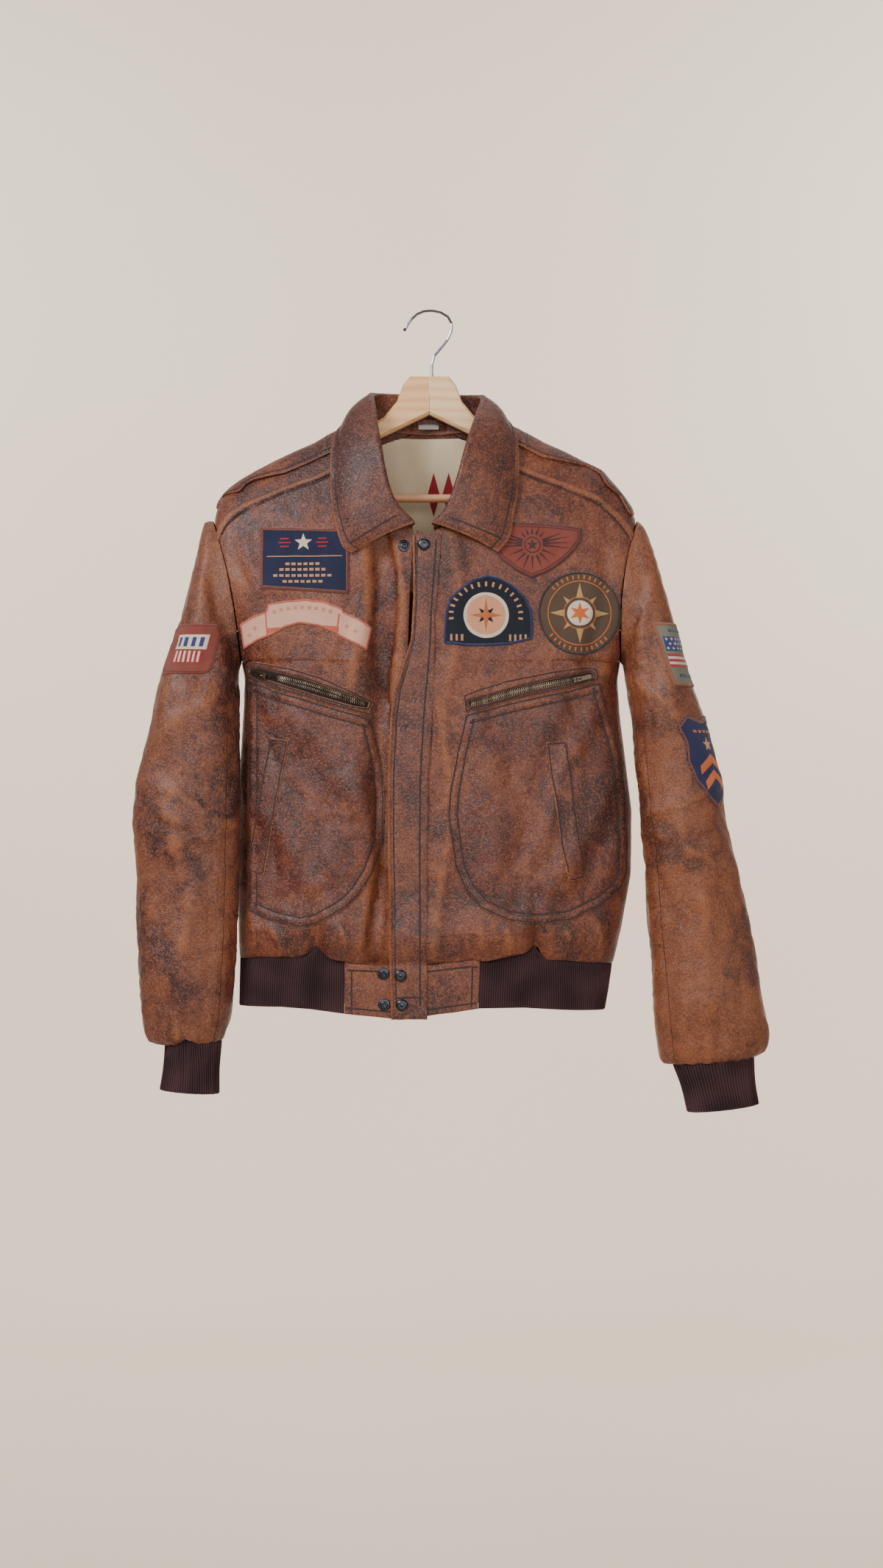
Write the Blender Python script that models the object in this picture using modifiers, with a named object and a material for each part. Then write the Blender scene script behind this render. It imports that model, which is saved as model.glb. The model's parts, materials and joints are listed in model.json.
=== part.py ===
"""A worn leather flight jacket on a wooden hanger.

The origin is the underside of the hook's wire, where it rests on a nail. +X is the viewer's right,
+Y runs into the wall and +Z is up. Right and left are the wearer's, so right is at -X.
Sizes are in millimetres here, and each mesh is made in metres.
"""

import functools
import math

import bmesh
import bpy
import numpy as np
from mathutils import Matrix, Vector
from mathutils.bvhtree import BVHTree

MM = 0.001
LEATHER = 1.6
KNIT = 2.2
SEAM_GAP = 0.3

# Torso: half-depths front and back about a middle plane, and the levels of armhole and hem
MIDDLE_Y = -8.0
FRONT_DEPTH = 62.0
BACK_DEPTH = 50.0
FULL_DEPTH = {"front": FRONT_DEPTH, "back": BACK_DEPTH}
ARM_DEPTH = {"front": 44.0, "back": 38.0}
SIDE_ROUNDNESS = 2.5
ARM_TOP_Z = -250.0
ARM_MIDDLE_Z = -334.0
ARM_PIT_Z = -418.0
ARM_TOP_X = {"right": -255.0, "left": 245.0}
ARM_PIT_X = {"right": -222.0, "left": 226.0}
ARM_BOW = {"right": 7.0, "left": -10.0}
HEM_LEVEL = 5.5
YOKE_FRONT_LEVEL = 0.467
YOKE_BACK_LEVEL = 0.36
SEAM_LEVEL = 0.0018
NECK_GAP = 0.008
BLOUSE_RISE = 6.0
BLOUSE_DROP = 2.0

SHOULDER_RIDGE = [
    (-255, -250), (-252, -237), (-246, -224), (-236, -213), (-222, -203), (-204, -192.5), (-182, -181),
    (-158.6, -170), (-135, -159.5), (-117.6, -149), (-80, -133), (0, -97), (80, -130), (116, -149),
    (136, -159.5), (159.5, -170), (181, -181), (204, -192), (213, -203), (222, -213), (230, -223),
    (238, -235), (245, -250)]
SIDE_SEAM = {
    "right": [(-767, -225), (-680, -228), (-560, -226), (-480, -221), (-440, -219), (-418, -222)],
    "left": [(-774, 217), (-765, 220), (-727, 229), (-670, 239), (-592, 240), (-530, 232), (-480, 226),
             (-440, 223), (-418, 226)]}
FRONT_HEM = [
    (-225, -767), (-190, -764), (-151, -763.5), (-140, -758), (-132, -749), (-122, -759), (-112, -766),
    (-90, -770), (-45, -771), (0, -771), (50, -765), (64, -768), (91, -763), (114, -758), (124, -747),
    (134, -766), (165, -768), (222, -774)]
BACK_HEM = [(-225, -767), (222, -774)]
NECK = {
    "right": [(-2, -270), (-20, -265), (-42, -250), (-56, -232), (-64, -207), (-70, -182), (-75, -158),
              (-79, -139)],
    "left": [(0, -270), (14, -262), (34, -250), (46, -232), (53, -207), (60, -182), (66, -158), (71, -139)]}
NECK_POINT = {"right": -80.0, "left": 73.0}
BACK_NECK = [(-80, -133), (-68, -134.5), (-42, -138), (0, -140), (38, -138), (62, -134), (73, -130)]
FRONT_EDGE_RIGHT = [(-835, -24), (-400, -24), (-272, -19)]
FRONT_EDGE_GAP = 4.5

# Long soft folds of a front: end points, half-width and height out of the cloth
FRONT_FOLDS = [
    ((-57, -300), (-57, -770), 14, -13),
    ((-132, -700), (-132, -762), 9, -7),
    ((124, -695), (124, -762), 9, -7),
    ((-205, -345), (-150, -500), 20, 4),
    ((-190, -560), (-120, -740), 22, 4),
    ((190, -350), (150, -470), 20, 4),
    ((215, -520), (120, -720), 24, 4),
    ((55, -500), (70, -740), 20, 4),
    ((-95, -560), (-100, -740), 16, 4)]
BACK_FOLDS = [
    ((-150, -300), (-60, -520), 24, 4),
    ((150, -300), (70, -560), 24, 4),
    ((-110, -560), (-130, -740), 20, 4),
    ((20, -540), (10, -740), 22, 4),
    ((140, -580), (130, -740), 20, 4)]

# Sleeve rings from armhole to cuff: outer point, inner point, middle y, half-depth
SLEEVE_RINGS = {
    "right": [
        ((-266, -253), (-225, -423), -10, 43), ((-272, -276), (-226, -428), -13, 43),
        ((-279, -306), (-226, -437), -18, 43), ((-288, -349), (-225, -452), -25, 43),
        ((-301, -392), (-224, -474), -32, 42), ((-314, -436), (-223, -500), -37, 42),
        ((-327, -490), (-221, -535), -40, 41), ((-340, -548), (-221, -575), -41, 40),
        ((-348, -600), (-221, -612), -42, 40), ((-343, -655), (-222, -655), -42, 39),
        ((-343, -715), (-224, -715), -42, 38), ((-341, -775), (-227, -775), -42, 37),
        ((-337, -830), (-232, -829), -42, 36), ((-329, -861), (-239, -853), -42, 32),
        ((-310, -867), (-243, -861.5), -42, 27)],
    "left": [
        ((253, -257), (229, -420), -10, 43), ((262, -278), (230, -425), -13, 43),
        ((270, -306), (231, -434), -17, 43), ((281, -349), (233, -450), -22, 42),
        ((294, -392), (236, -474), -27, 42), ((306, -436), (239, -502), -30, 41),
        ((324, -490), (242, -540), -32, 41), ((340, -548), (246, -580), -33, 41),
        ((350, -612), (250, -628), -33, 40), ((366, -680), (254, -688), -33, 40),
        ((382, -750), (259, -755), -33, 40), ((391, -810), (263, -815), -33, 40),
        ((400, -850), (267, -862), -33, 39), ((397, -873), (272, -888), -33, 35),
        ((382, -882), (286, -890.5), -33, 30)]}
CUFF_ENDS = {
    "right": ((-316, -919), (-246, -924), -42, 25),
    "left": ((388, -937), (303, -947), -33, 27)}
SLEEVE_START = 0.9
RING_STEP = 20
SEAM_ANGLES = (140, 240)

# Collar stations from the front end to the back middle: seam, roll and outer edge
COLLAR_SEAM = {
    "right": [(-20, -265), (-42, -250), (-56, -232), (-64, -207), (-70, -182), (-75, -158), (-79, -139)],
    "left": [(6, -265), (30, -251), (45, -232), (53, -207), (60, -182), (66, -158), (71, -139)]}
COLLAR_ROLL = {
    "right": [
        (-16, -76, -260), (-32, -79, -244), (-42, -81, -230), (-49, -80, -207), (-55, -74, -178),
        (-60, -62, -150), (-64, -42, -122), (-68, -14, -101), (-60, 10, -96), (-38, 21, -95)],
    "left": [
        (3, -76, -260), (17, -79, -247), (26, -81, -228), (35, -80, -201), (42, -74, -174),
        (50, -62, -148), (57, -42, -124), (63, -14, -104), (54, 10, -98), (34, 21, -96)]}
COLLAR_EDGE = {
    "right": [
        (-90, -294), (-101, -285), (-109, -260), (-114, -230), (-115.5, -199), (-115, -172), (-111, -152),
        (-99, -137), (-84, -146), (-50, -158)],
    "left": [
        (80, -293), (93, -276), (98, -252), (103, -222), (105, -195), (104.5, -168), (101, -149),
        (89, -134), (76, -144), (46, -156)]}
COLLAR_BACK = ((0, -140), (0, 24, -94), (0, -165))
COLLAR_THICKNESS = 2.4
COLLAR_CLEARANCE = 3.3
COLLAR_STATIONS = 27
ROLL_RADIUS = 3.2
LOOP_THICKNESS = 1.2

# Shoulder straps: front edge as seen from the front, outer end and back edge
EPAULETTE_FRONT = {
    "right": [(-96, -166), (-120, -175), (-146, -187), (-173, -198), (-207, -205), (-217, -209.5), (-225, -219),
              (-244, -220), (-251, -232)],
    "left": [(90, -159), (108, -166), (134, -179), (164, -184), (189.5, -188), (203, -197), (208, -210),
             (225, -222), (239, -247)]}
EPAULETTE_END_X = {"right": -251.0, "left": 241.0}
EPAULETTE_BACK_LEVEL = 0.30
EPAULETTE_LIFT = (0.4, 2.9)
SLOPE_STEP = 0.006

# Wind flap over the front closure, down over the waist tabs
FLAP_LEFT = [
    (-835, -43), (-763, -45), (-706, -45), (-630, -47), (-555, -47), (-486, -44), (-456, -40), (-429, -31),
    (-395, -20), (-346, -17), (-272, -18)]
FLAP_RIGHT = [(-835, -2), (-630, -2), (-555, -1), (-441, 6), (-365, 7), (-278, 15)]
FLAP_LIFT = (0.5, 2.1)
FLAP_BOTTOM = -835.0
FLAP_TOP_LEVEL = 0.828

# Waistband: depth, ends and lower line of the knit, and its leather tabs
BAND_DEPTH = {"front": 60.0, "back": 48.0}
BAND_BOTTOM_X = {"right": -226.0, "left": 209.0}
BAND_BOTTOM = [(-226, -823), (-173, -822), (-138, -824), (-98, -829), (-45, -834), (-2, -831), (59, -822.5),
               (110, -822), (165, -826), (209, -828)]
RIB_HEIGHT = 1.0
WAIST_RIBS = 66
CUFF_RIBS = 22
TAB_RIGHT_X = (-98.0, -24.5)
TAB_LEFT_X = (-19.5, 59.0)

# Pockets, zips and patches on the fronts, as seen from the front
POCKET_RIGHT = [
    (-67, -485.5), (-55, -536), (-51, -578), (-53, -630), (-65, -665), (-80, -690), (-96, -706), (-127, -724),
    (-149, -729), (-184, -722), (-213, -710), (-213, -437), (-181, -451.5), (-148, -461.5), (-115, -471.5),
    (-83, -480.5)]
POCKET_LEFT = [
    (42, -481), (31, -527), (23, -570), (21, -600), (24, -622), (29, -658), (42, -687), (60, -707),
    (91, -721), (128, -725), (165, -721), (202, -704), (226, -685), (233, -668), (234, -626), (231, -570),
    (225, -527), (213, -485), (201, -443), (197, -442.5), (163, -451.5), (127, -459.5), (91, -467.5),
    (55, -477.5)]
ZIP_FRAME_RIGHT = [
    (-216, -422), (-209, -418), (-192, -420), (-159, -427), (-126, -437), (-94, -451), (-63, -466),
    (-66, -484), (-83, -479), (-115, -470), (-148, -460), (-181, -450), (-202, -441), (-215, -434)]
ZIP_SLOT_RIGHT = [
    (-211, -426.5), (-199, -427), (-170, -434), (-137, -443), (-105, -455), (-70, -467), (-72, -473),
    (-88, -471), (-126, -460), (-170, -446), (-197, -437), (-210, -431)]
ZIP_FRAME_LEFT = [
    (39, -459), (55, -452), (91, -441), (139, -431), (181, -424), (196, -426), (200, -439), (197, -441),
    (163, -450), (127, -458), (91, -466), (55, -476), (42, -479)]
ZIP_SLOT_LEFT = [
    (45, -466), (67, -461), (103, -450), (151, -439), (190, -431.5), (192, -436.5), (187, -438),
    (151, -446), (103, -457), (67, -467.5), (47, -472)]
SLOT_INSET = 0.4
WELT_RIGHT = [(-186, -507), (-162, -511), (-192, -669), (-214, -665)]
WELT_LEFT = [(135, -513), (160, -512), (181, -672), (159, -674)]
PATCH_PANEL = [(-197, -262), (-93, -266), (-93, -341), (-197, -334)]
PATCH_SCROLL = [
    (-221, -375), (-205, -366), (-190, -361), (-188, -352), (-166, -348.5), (-144, -347), (-122, -350),
    (-101, -358), (-99, -362), (-83, -369), (-67, -380), (-70, -394), (-73, -407), (-88, -398),
    (-104, -391), (-108, -387), (-128, -378.5), (-151, -375), (-168, -380), (-184, -389), (-199, -394),
    (-217, -404)]
PATCH_WING = [
    (64, -259), (92, -257), (121, -258), (150, -260), (178, -263), (177, -279), (167, -293), (154, -305),
    (139, -315), (119, -323), (100, -314), (84, -302), (72, -284)]
PATCH_ARCH = [
    (17, -399), (17.5, -380), (19, -362), (25, -346), (37, -334), (51, -324), (68, -319), (84, -323),
    (99, -331), (112, -344), (119, -358), (121, -376), (120, -394), (94, -400), (68, -402), (42, -402)]
PATCH_DISC = ((175.0, -363.0), 48.5)
# On the sleeves: middle of the patch, the way it faces, and its outline about that middle
PATCH_SQUARE = ((-268, -405), (-0.45, -0.89), [(-34, 24), (-26, 29), (28, 29), (34, 24), (34, -24), (28, -29),
                                               (-28, -29), (-34, -23)])
PATCH_STRIPES = ((276, -411), (0.96, -0.28), [(-34, 37), (32, 37), (36, -37), (-30, -37)])
PATCH_SHIELD = ((305, -535), (0.85, -0.53), [
    (-38, 40), (-22, 54), (0, 47), (22, 54), (38, 40), (33, 22), (36, 0), (30, -24), (16, -44), (0, -56),
    (-16, -44), (-30, -24), (-36, 0), (-33, 22)])
FIRST_LAYER = (0.3, 1.5)
SECOND_LAYER = (1.8, 3.0)
PATCH_MARGIN = 12.0
CHAIN_LAYER = (0.3, 1.3)

SNAP_RADIUS = 7.0
SNAP_LIFT = 0.5
SNAPS = {
    "snap_socket_top": ("front_right", (-29, -285.5), "socket"),
    "snap_cap_top": ("front_flap", (-6, -284), "cap"),
    "snap_cap_waist_upper": ("front_flap", (-33, -784), "cap"),
    "snap_cap_waist_lower": ("front_flap", (-31.5, -818), "cap"),
    "snap_socket_waist_upper": ("waist_tab_right", (-53, -782), "socket"),
    "snap_socket_waist_lower": ("waist_tab_right", (-52, -818), "socket")}

# Zip sliders: middle, and the point that the pull tab lies towards
SLIDERS = {"right": ((-193, -434.5), (-217, -427)), "left": ((171, -440), (198, -433))}
SLIDER_SIZE = (9.0, 6.4, 2.2)
SLIDER_LIFT = 2.2
BAIL_WIRE = 0.5
BAIL_HEIGHT = 2.6
PULL_AXIS_HEIGHT = 1.35
PULL_LENGTH = 19.0
PULL_WIDTH = 5.0
PULL_THICKNESS = 1.0
PULL_WINDOW = (0.6, 5.0, 1.05)
PULL_TILT = 9.0

# Hanger: two arms mitred at the middle, a trouser bar and a wire hook
ARM_TIP_X = 203.0
ARM_THICKNESS = 14.0
ARM_TOP = [(0, -76.6), (23, -76.6), (31, -86), (39, -107), (55, -126)]
ARM_BOTTOM = [(0, -123), (60, -152), (120, -186), (180, -224), (203, -238)]
ARM_SET_BACK = -9.0
BAR_RADIUS = 5.0
BAR_Z = -223.0
BAR_END_X = 188.0
HOOK_RADIUS = 1.6
HOOK_PATH = [
    (3, -96), (3, -76), (3, -62), (6, -52), (14, -42.5), (21.5, -33), (26, -23), (26.5, -13.5), (22, -5.5),
    (13.5, -0.4), (5, 1.4), (0, 1.6), (-7, 0.9), (-15, -2.6), (-21.5, -8.6), (-26, -15), (-29.5, -21)]

COLOURS = {
    "leather": ((120, 70, 45), 0.55, 0), "knit": ((60, 38, 40), 0.9, 0), "lining": ((185, 165, 130), 0.8, 0),
    "label": ((225, 222, 212), 0.8, 0), "wood": ((235, 195, 150), 0.45, 0), "chrome": ((200, 200, 205), 0.15, 1),
    "bronze": ((70, 60, 50), 0.4, 1), "gunmetal": ((85, 85, 92), 0.3, 1), "navy": ((30, 35, 60), 0.9, 0),
    "pink": ((225, 165, 140), 0.9, 0), "brick": ((130, 60, 50), 0.9, 0), "brown": ((85, 65, 50), 0.9, 0),
    "grey": ((110, 110, 95), 0.9, 0)}


def linear(channel):
    """Turn one sRGB channel, 0 to 255, into a linear value."""
    value = channel / 255
    return value / 12.92 if value <= 0.04045 else ((value + 0.055) / 1.055) ** 2.4


def finish(name, colour):
    """Make the Principled material of one piece."""
    rgb, roughness, metallic = COLOURS[colour]
    material = bpy.data.materials.new(name)
    material.use_nodes = True
    shader = material.node_tree.nodes["Principled BSDF"]
    shader.inputs["Base Color"].default_value = (*[linear(c) for c in rgb], 1)
    shader.inputs["Roughness"].default_value = roughness
    shader.inputs["Metallic"].default_value = metallic
    return material


def add_object(name, mesh, colour=None):
    """Put a mesh in the jacket's collection, or among the cutters if it has no colour."""
    piece = bpy.data.objects.new(name, mesh)
    if colour:
        mesh.materials.append(finish(name, colour))
        bpy.data.collections["leather_jacket"].objects.link(piece)
    else:
        bpy.data.collections["cutters"].objects.link(piece)
        piece.hide_render = True
        piece.display_type = "WIRE"
    return piece


def ease(value):
    value = min(max(value, 0.0), 1.0)
    return value * value * (3 - 2 * value)


def mix(start, end, share):
    return start + (end - start) * share


def read(table, position):
    """Read a line of (position, value) points, whichever way it runs."""
    points = sorted(table)
    return float(np.interp(position, [p[0] for p in points], [p[1] for p in points]))


def side_of(s):
    return "right" if s < 0 else "left"


def height(face, s, level):
    """Height of the torso at s across (-1 right side, 1 left side) and a level down it.

    Level 0 is the shoulder ridge, 1 the middle of the armhole, 2 its pit, and HEM_LEVEL the hem.
    """
    side = side_of(s)
    if level < 1:
        ridge = read(SHOULDER_RIDGE, ARM_TOP_X[side] * abs(s))
        return ARM_MIDDLE_Z + (ridge - ARM_MIDDLE_Z) * math.cos(level * math.pi / 2)
    if level <= 2:
        return ARM_MIDDLE_Z + (ARM_MIDDLE_Z - ARM_PIT_Z) * math.cos(level * math.pi / 2)
    hem = read(FRONT_HEM if face == "front" else BACK_HEM, SIDE_SEAM[side][0][1] * abs(s))
    return mix(ARM_PIT_Z, hem, (level - 2) / (HEM_LEVEL - 2))


def side_x(side, level):
    """Outline of the torso at a level: the armhole's edge, then the side seam."""
    if level > 2:
        return read(SIDE_SEAM[side], height("back", -1 if side == "right" else 1, level))
    turn = level * math.pi / 2
    middle = (ARM_TOP_X[side] + ARM_PIT_X[side]) / 2
    return middle + (ARM_TOP_X[side] - middle) * math.cos(turn) + ARM_BOW[side] * math.sin(turn) ** 2


def fold_height(folds, x, z):
    """Sum of the soft folds at a place on the cloth."""
    total = 0.0
    for start, end, width, rise in folds:
        run = (end[0] - start[0], end[1] - start[1])
        length = math.hypot(*run)
        along = ((x - start[0]) * run[0] + (z - start[1]) * run[1]) / length
        across = ((x - start[0]) * run[1] - (z - start[1]) * run[0]) / length
        beyond = max(-along, along - length, 0.0)
        total += rise * math.exp(-(across / width) ** 2 - (beyond / (1.5 * width)) ** 2)
    return total


def depth(face, s, level):
    """Half-depth of the torso, from a sharp side seam below to an open armhole above."""
    edge = ARM_DEPTH[face] * math.sin(min(level, 2) * math.pi / 2)
    full = FULL_DEPTH[face] * math.sin(min(level, 1) * math.pi / 2)
    soft = 1 - abs(s) ** 2.2
    round_side = max(1 - abs(s) ** SIDE_ROUNDNESS, 0) ** (1 / SIDE_ROUNDNESS)
    return edge + (full - edge) * mix(soft, round_side, ease(level - 1))


def blouse(z, hem):
    """How far the cloth stands out over the waistband, and pulls in at the hem itself."""
    above = z - hem
    return BLOUSE_RISE * math.exp(-((above - 32) / 24) ** 2) - BLOUSE_DROP * math.exp(-(above / 8) ** 2)


def torso(face, s, level, folded=True):
    """A point of the torso's outer face."""
    z = height(face, s, level)
    x = side_x(side_of(s), level) * abs(s)
    reach = depth(face, s, level)
    drape = blouse(z, height(face, s, HEM_LEVEL)) if level > 2 else 0.0
    if folded:
        drape += fold_height(FRONT_FOLDS if face == "front" else BACK_FOLDS, x, z)
    reach += drape * min(reach / 30, 1)
    if level >= 1:
        reach = max(reach, 0.2)
    return (x, MIDDLE_Y + (-reach if face == "front" else reach), z)


def locate(face, x, z):
    """Find s and level of the torso at a place seen from the front."""
    side = "right" if x < 0 else "left"
    level = 1.0
    s = 0.0
    for _ in range(12):
        s = x / side_x(side, level) * (-1 if side == "right" else 1)
        low, high = 0.0, HEM_LEVEL
        for _ in range(30):
            level = (low + high) / 2
            if height(face, s, level) > z:
                low = level
            else:
                high = level
    return s, level


@functools.cache
def neck_line(face, side):
    """The neck edge of a face, as sorted (s, level) points."""
    if face == "front":
        return sorted(locate(face, x, z) for x, z in NECK[side])
    sign = -1 if side == "right" else 1
    return sorted(locate(face, x, z) for x, z in BACK_NECK if x * sign >= 0 and abs(x) < 70)


def neck_level(s):
    """Level at which the front's neck edge crosses s, or 0 outside the neck."""
    points = neck_line("front", side_of(s))
    if abs(s) > max(abs(p[0]) for p in points):
        return 0.0
    return float(np.interp(s, [p[0] for p in points], [p[1] for p in points]))


def neck_across(side, level):
    """How far from the middle the neck edge lies at a level, negative levels being in front."""
    ridge = (0.0, NECK_POINT[side] / ARM_TOP_X[side])
    front = [(-height_level, abs(s)) for s, height_level in neck_line("front", side)]
    back = [(height_level, abs(s)) for s, height_level in neck_line("back", side)]
    return read(front + [ridge] + back, level)


def normals(points, ring=False):
    """Outward normals of a grid whose rows run down and whose columns run to the left when seen outside."""
    down = np.gradient(points, axis=0)
    if ring:
        across = (np.roll(points, -1, axis=1) - np.roll(points, 1, axis=1)) / 2
    else:
        across = np.gradient(points, axis=1)
    normal = np.cross(down, across)
    return normal / np.maximum(np.linalg.norm(normal, axis=2, keepdims=True), 1e-9)


def moved(points, distance, ring=False):
    return points + normals(points, ring) * distance


def sheet_of(points):
    return points, normals(points)


def wall(name, outer, inner, colour=None, ring=False):
    """Close an outer and an inner grid of points into one body."""
    rows, columns = outer.shape[:2]
    vertices = np.concatenate([outer.reshape(-1, 3), inner.reshape(-1, 3)]) * MM
    span = columns if ring else columns - 1
    faces = []

    def at(layer, row, column):
        return (layer * rows + row) * columns + column % columns

    def quad(a, b, c, d):
        faces.extend(((a, b, c), (a, c, d)))

    for column in range(span):
        for row in range(rows - 1):
            quad(at(0, row, column), at(0, row + 1, column), at(0, row + 1, column + 1), at(0, row, column + 1))
            quad(at(1, row, column), at(1, row, column + 1), at(1, row + 1, column + 1), at(1, row + 1, column))
        quad(at(0, 0, column), at(0, 0, column + 1), at(1, 0, column + 1), at(1, 0, column))
        last = rows - 1
        quad(at(0, last, column + 1), at(0, last, column), at(1, last, column), at(1, last, column + 1))
    for row in range(0 if ring else rows - 1):
        quad(at(0, row + 1, 0), at(0, row, 0), at(1, row, 0), at(1, row + 1, 0))
        end = columns - 1
        quad(at(0, row, end), at(0, row + 1, end), at(1, row + 1, end), at(1, row, end))
    mesh = bpy.data.meshes.new(name)
    mesh.from_pydata([tuple(v) for v in vertices], [], faces)
    body = bmesh.new()
    body.from_mesh(mesh)
    bmesh.ops.recalc_face_normals(body, faces=body.faces)
    body.to_mesh(mesh)
    body.free()
    mesh.shade_smooth()
    mesh.set_sharp_from_angle(angle=math.radians(40))
    return add_object(name, mesh, colour)


def shoulder(s, level, folded):
    """A point of the torso with levels counted below 0 in front and above 0 at the back."""
    return np.array(torso("front" if level < 0 else "back", s, abs(level), folded))


def torso_normal(face, s, level, folded):
    """The way the torso's cloth faces, worked out from its own shape."""
    if level >= 2 and abs(s) > 0.999:
        return np.array((math.copysign(1.0, s), 0.0, 0.0))
    signed = -level if face == "front" else level
    low, high = max(s - SLOPE_STEP, -1), min(s + SLOPE_STEP, 1)
    across = shoulder(high, signed, folded) - shoulder(low, signed, folded)
    along = shoulder(s, signed + SLOPE_STEP, folded) - shoulder(s, signed - SLOPE_STEP, folded)
    normal = np.cross(across, along)
    return normal / np.linalg.norm(normal)


def torso_sheet(places, folded=True):
    """Points and outward normals for rows of (face, s, level) places."""
    points = np.array([[torso(*place, folded) for place in row] for row in places])
    outward = np.array([[torso_normal(*place, folded) for place in row] for row in places])
    return points, outward


def cloth(name, sheet, colour="leather", thickness=LEATHER):
    """A wall whose outer face runs through the sheet's points."""
    points, outward = sheet
    return wall(name, points, points - outward * thickness, colour)


LOWER_LEVELS = [1.0, 1.3, 1.65, 2.0, 2.4, 2.8, 3.25, 3.8, 4.35, 4.85, 5.2, 5.38, HEM_LEVEL]
FRONT_COLUMNS = [0, 0.06, 0.12, 0.17, 0.23, 0.32, 0.43, 0.54, 0.607, 0.71, 0.82, 0.91, 0.97, 1]
BACK_LEVELS = [1.0, 1.5, 2.0, 2.7, 3.4, 4.1, 4.8, 5.25, HEM_LEVEL]
TOP_ROWS = 3


def seam_level(s):
    """Half the gap of a yoke seam, as a level, wider where the shoulder curves most."""
    return SEAM_LEVEL * (1 + 14 * s ** 8)


def front_edge(side, z):
    """The hidden middle edge of a front, under the wind flap."""
    edge = read(FRONT_EDGE_RIGHT, z)
    return edge if side == "right" else edge + FRONT_EDGE_GAP


def front_point(side, share, level):
    """s at a share of the way from a front's middle edge to its side."""
    end = -1 if side == "right" else 1
    z = height("front", 0.08 * end, level)
    start_x = front_edge(side, z)
    start = start_x / side_x(side_of(start_x), level) * (-1 if start_x < 0 else 1)
    return mix(start, end, share)


def front_grid(side):
    columns = []
    for share in FRONT_COLUMNS:
        top = YOKE_FRONT_LEVEL
        for _ in range(6):
            s = front_point(side, share, top)
            top = max(YOKE_FRONT_LEVEL, neck_level(s)) + seam_level(s)
        levels = [mix(top, 1.0, row / TOP_ROWS) for row in range(TOP_ROWS)] + LOWER_LEVELS
        columns.append([("front", front_point(side, share, level), level) for level in levels])
    if side == "right":
        columns.reverse()
    return torso_sheet(list(zip(*columns)))


def back_grid():
    columns = []
    neck = [locate("back", x, z) for x, z in BACK_NECK]
    for step in range(17):
        s = math.sin((step / 8 - 1) * math.pi / 2)
        inside = abs(s) < abs(neck[0][0]) or abs(s) < neck[-1][0]
        neck_here = float(np.interp(s, [p[0] for p in neck], [p[1] for p in neck])) if inside else 0.0
        top = max(YOKE_BACK_LEVEL, neck_here) + seam_level(s)
        levels = [mix(top, 1.0, row / 3) for row in range(3)] + BACK_LEVELS
        columns.append([("back", s, level) for level in levels])
    return torso_sheet(list(zip(*columns[::-1])))


def yoke_grid(side, rows=13, columns=12):
    """Shoulder cloth from the front seam over the ridge to the back seam."""
    sign = -1 if side == "right" else 1
    grid = []
    for row in range(rows):
        share = row / (rows - 1)
        level = mix(YOKE_BACK_LEVEL, -YOKE_FRONT_LEVEL, share)
        face = "front" if level < 0 else "back"
        start = neck_across(side, level) + NECK_GAP
        line = []
        for column in range(columns):
            s = mix(start, 1, column / (columns - 1)) * sign
            line.append((face, s, abs(level + seam_level(s) * (2 * share - 1))))
        grid.append(line if sign > 0 else line[::-1])
    return torso_sheet(grid, folded=False)


def epaulette(side, sheet):
    """The shoulder strap: the yoke's points moved out, with a wavy front edge that stands up."""
    points, outward = sheet
    out = np.abs(points[:, :, 0:1])
    wave = 0.5 - 0.5 * np.cos((out - 150) / 15)
    forward = np.clip((MIDDLE_Y - 12 - points[:, :, 1:2]) / 14, 0, 1)
    lift = forward * (0.4 + 2.2 * wave * np.clip((out - 140) / 60, 0, 1))
    low, high = EPAULETTE_LIFT
    strap = wall("epaulette_" + side, points + outward * (high + lift), points + outward * (low + lift), "leather")
    front = [(x, surface_y(x, z)) for x, z in EPAULETTE_FRONT[side]]
    back = []
    for x in (EPAULETTE_END_X[side], 0.8 * EPAULETTE_END_X[side], 0.6 * EPAULETTE_END_X[side], front[0][0]):
        s = x / ARM_TOP_X[side] * (-1 if side == "right" else 1)
        back.append((x, torso("back", s, EPAULETTE_BACK_LEVEL, folded=False)[1]))
    matrix = facing((0, 0, -100), (0, 0, 1), up=(0, 1, 0))
    boolean(strap, prism("epaulette_outline_" + side, [front + back], matrix, 360), "INTERSECT")


def sleeve_grid(side):
    """Rings from the armhole to the cuff, each from the outer point round by the front."""
    rings = []
    sign = -1 if side == "right" else 1
    angles = np.radians(np.arange(0, 360, RING_STEP))
    for face_row in range(1 + len(SLEEVE_RINGS[side])):
        ring = []
        for angle in angles:
            front = angle < math.pi
            if face_row == 0:
                level = 2 * (angle if front else 2 * math.pi - angle) / math.pi
                reach = ARM_DEPTH["front" if front else "back"] * math.sin(level * math.pi / 2)
                x = side_x(side, level) + SLEEVE_START * sign
                z = ARM_MIDDLE_Z + (ARM_MIDDLE_Z - ARM_PIT_Z) * math.cos(level * math.pi / 2)
                ring.append((x, MIDDLE_Y - reach if front else MIDDLE_Y + reach, z))
                continue
            outer, inner, middle_y, reach = SLEEVE_RINGS[side][face_row - 1]
            swing = (1 + math.cos(angle)) / 2
            bend = elbow_fold(side, face_row, angle)
            ring.append((mix(inner[0], outer[0], swing), middle_y - (reach + bend) * math.sin(angle),
                         mix(inner[1], outer[1], swing)))
        rings.append(ring)
    grid = np.array(rings)
    return grid if side == "right" else grid[:, ::-1]


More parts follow.
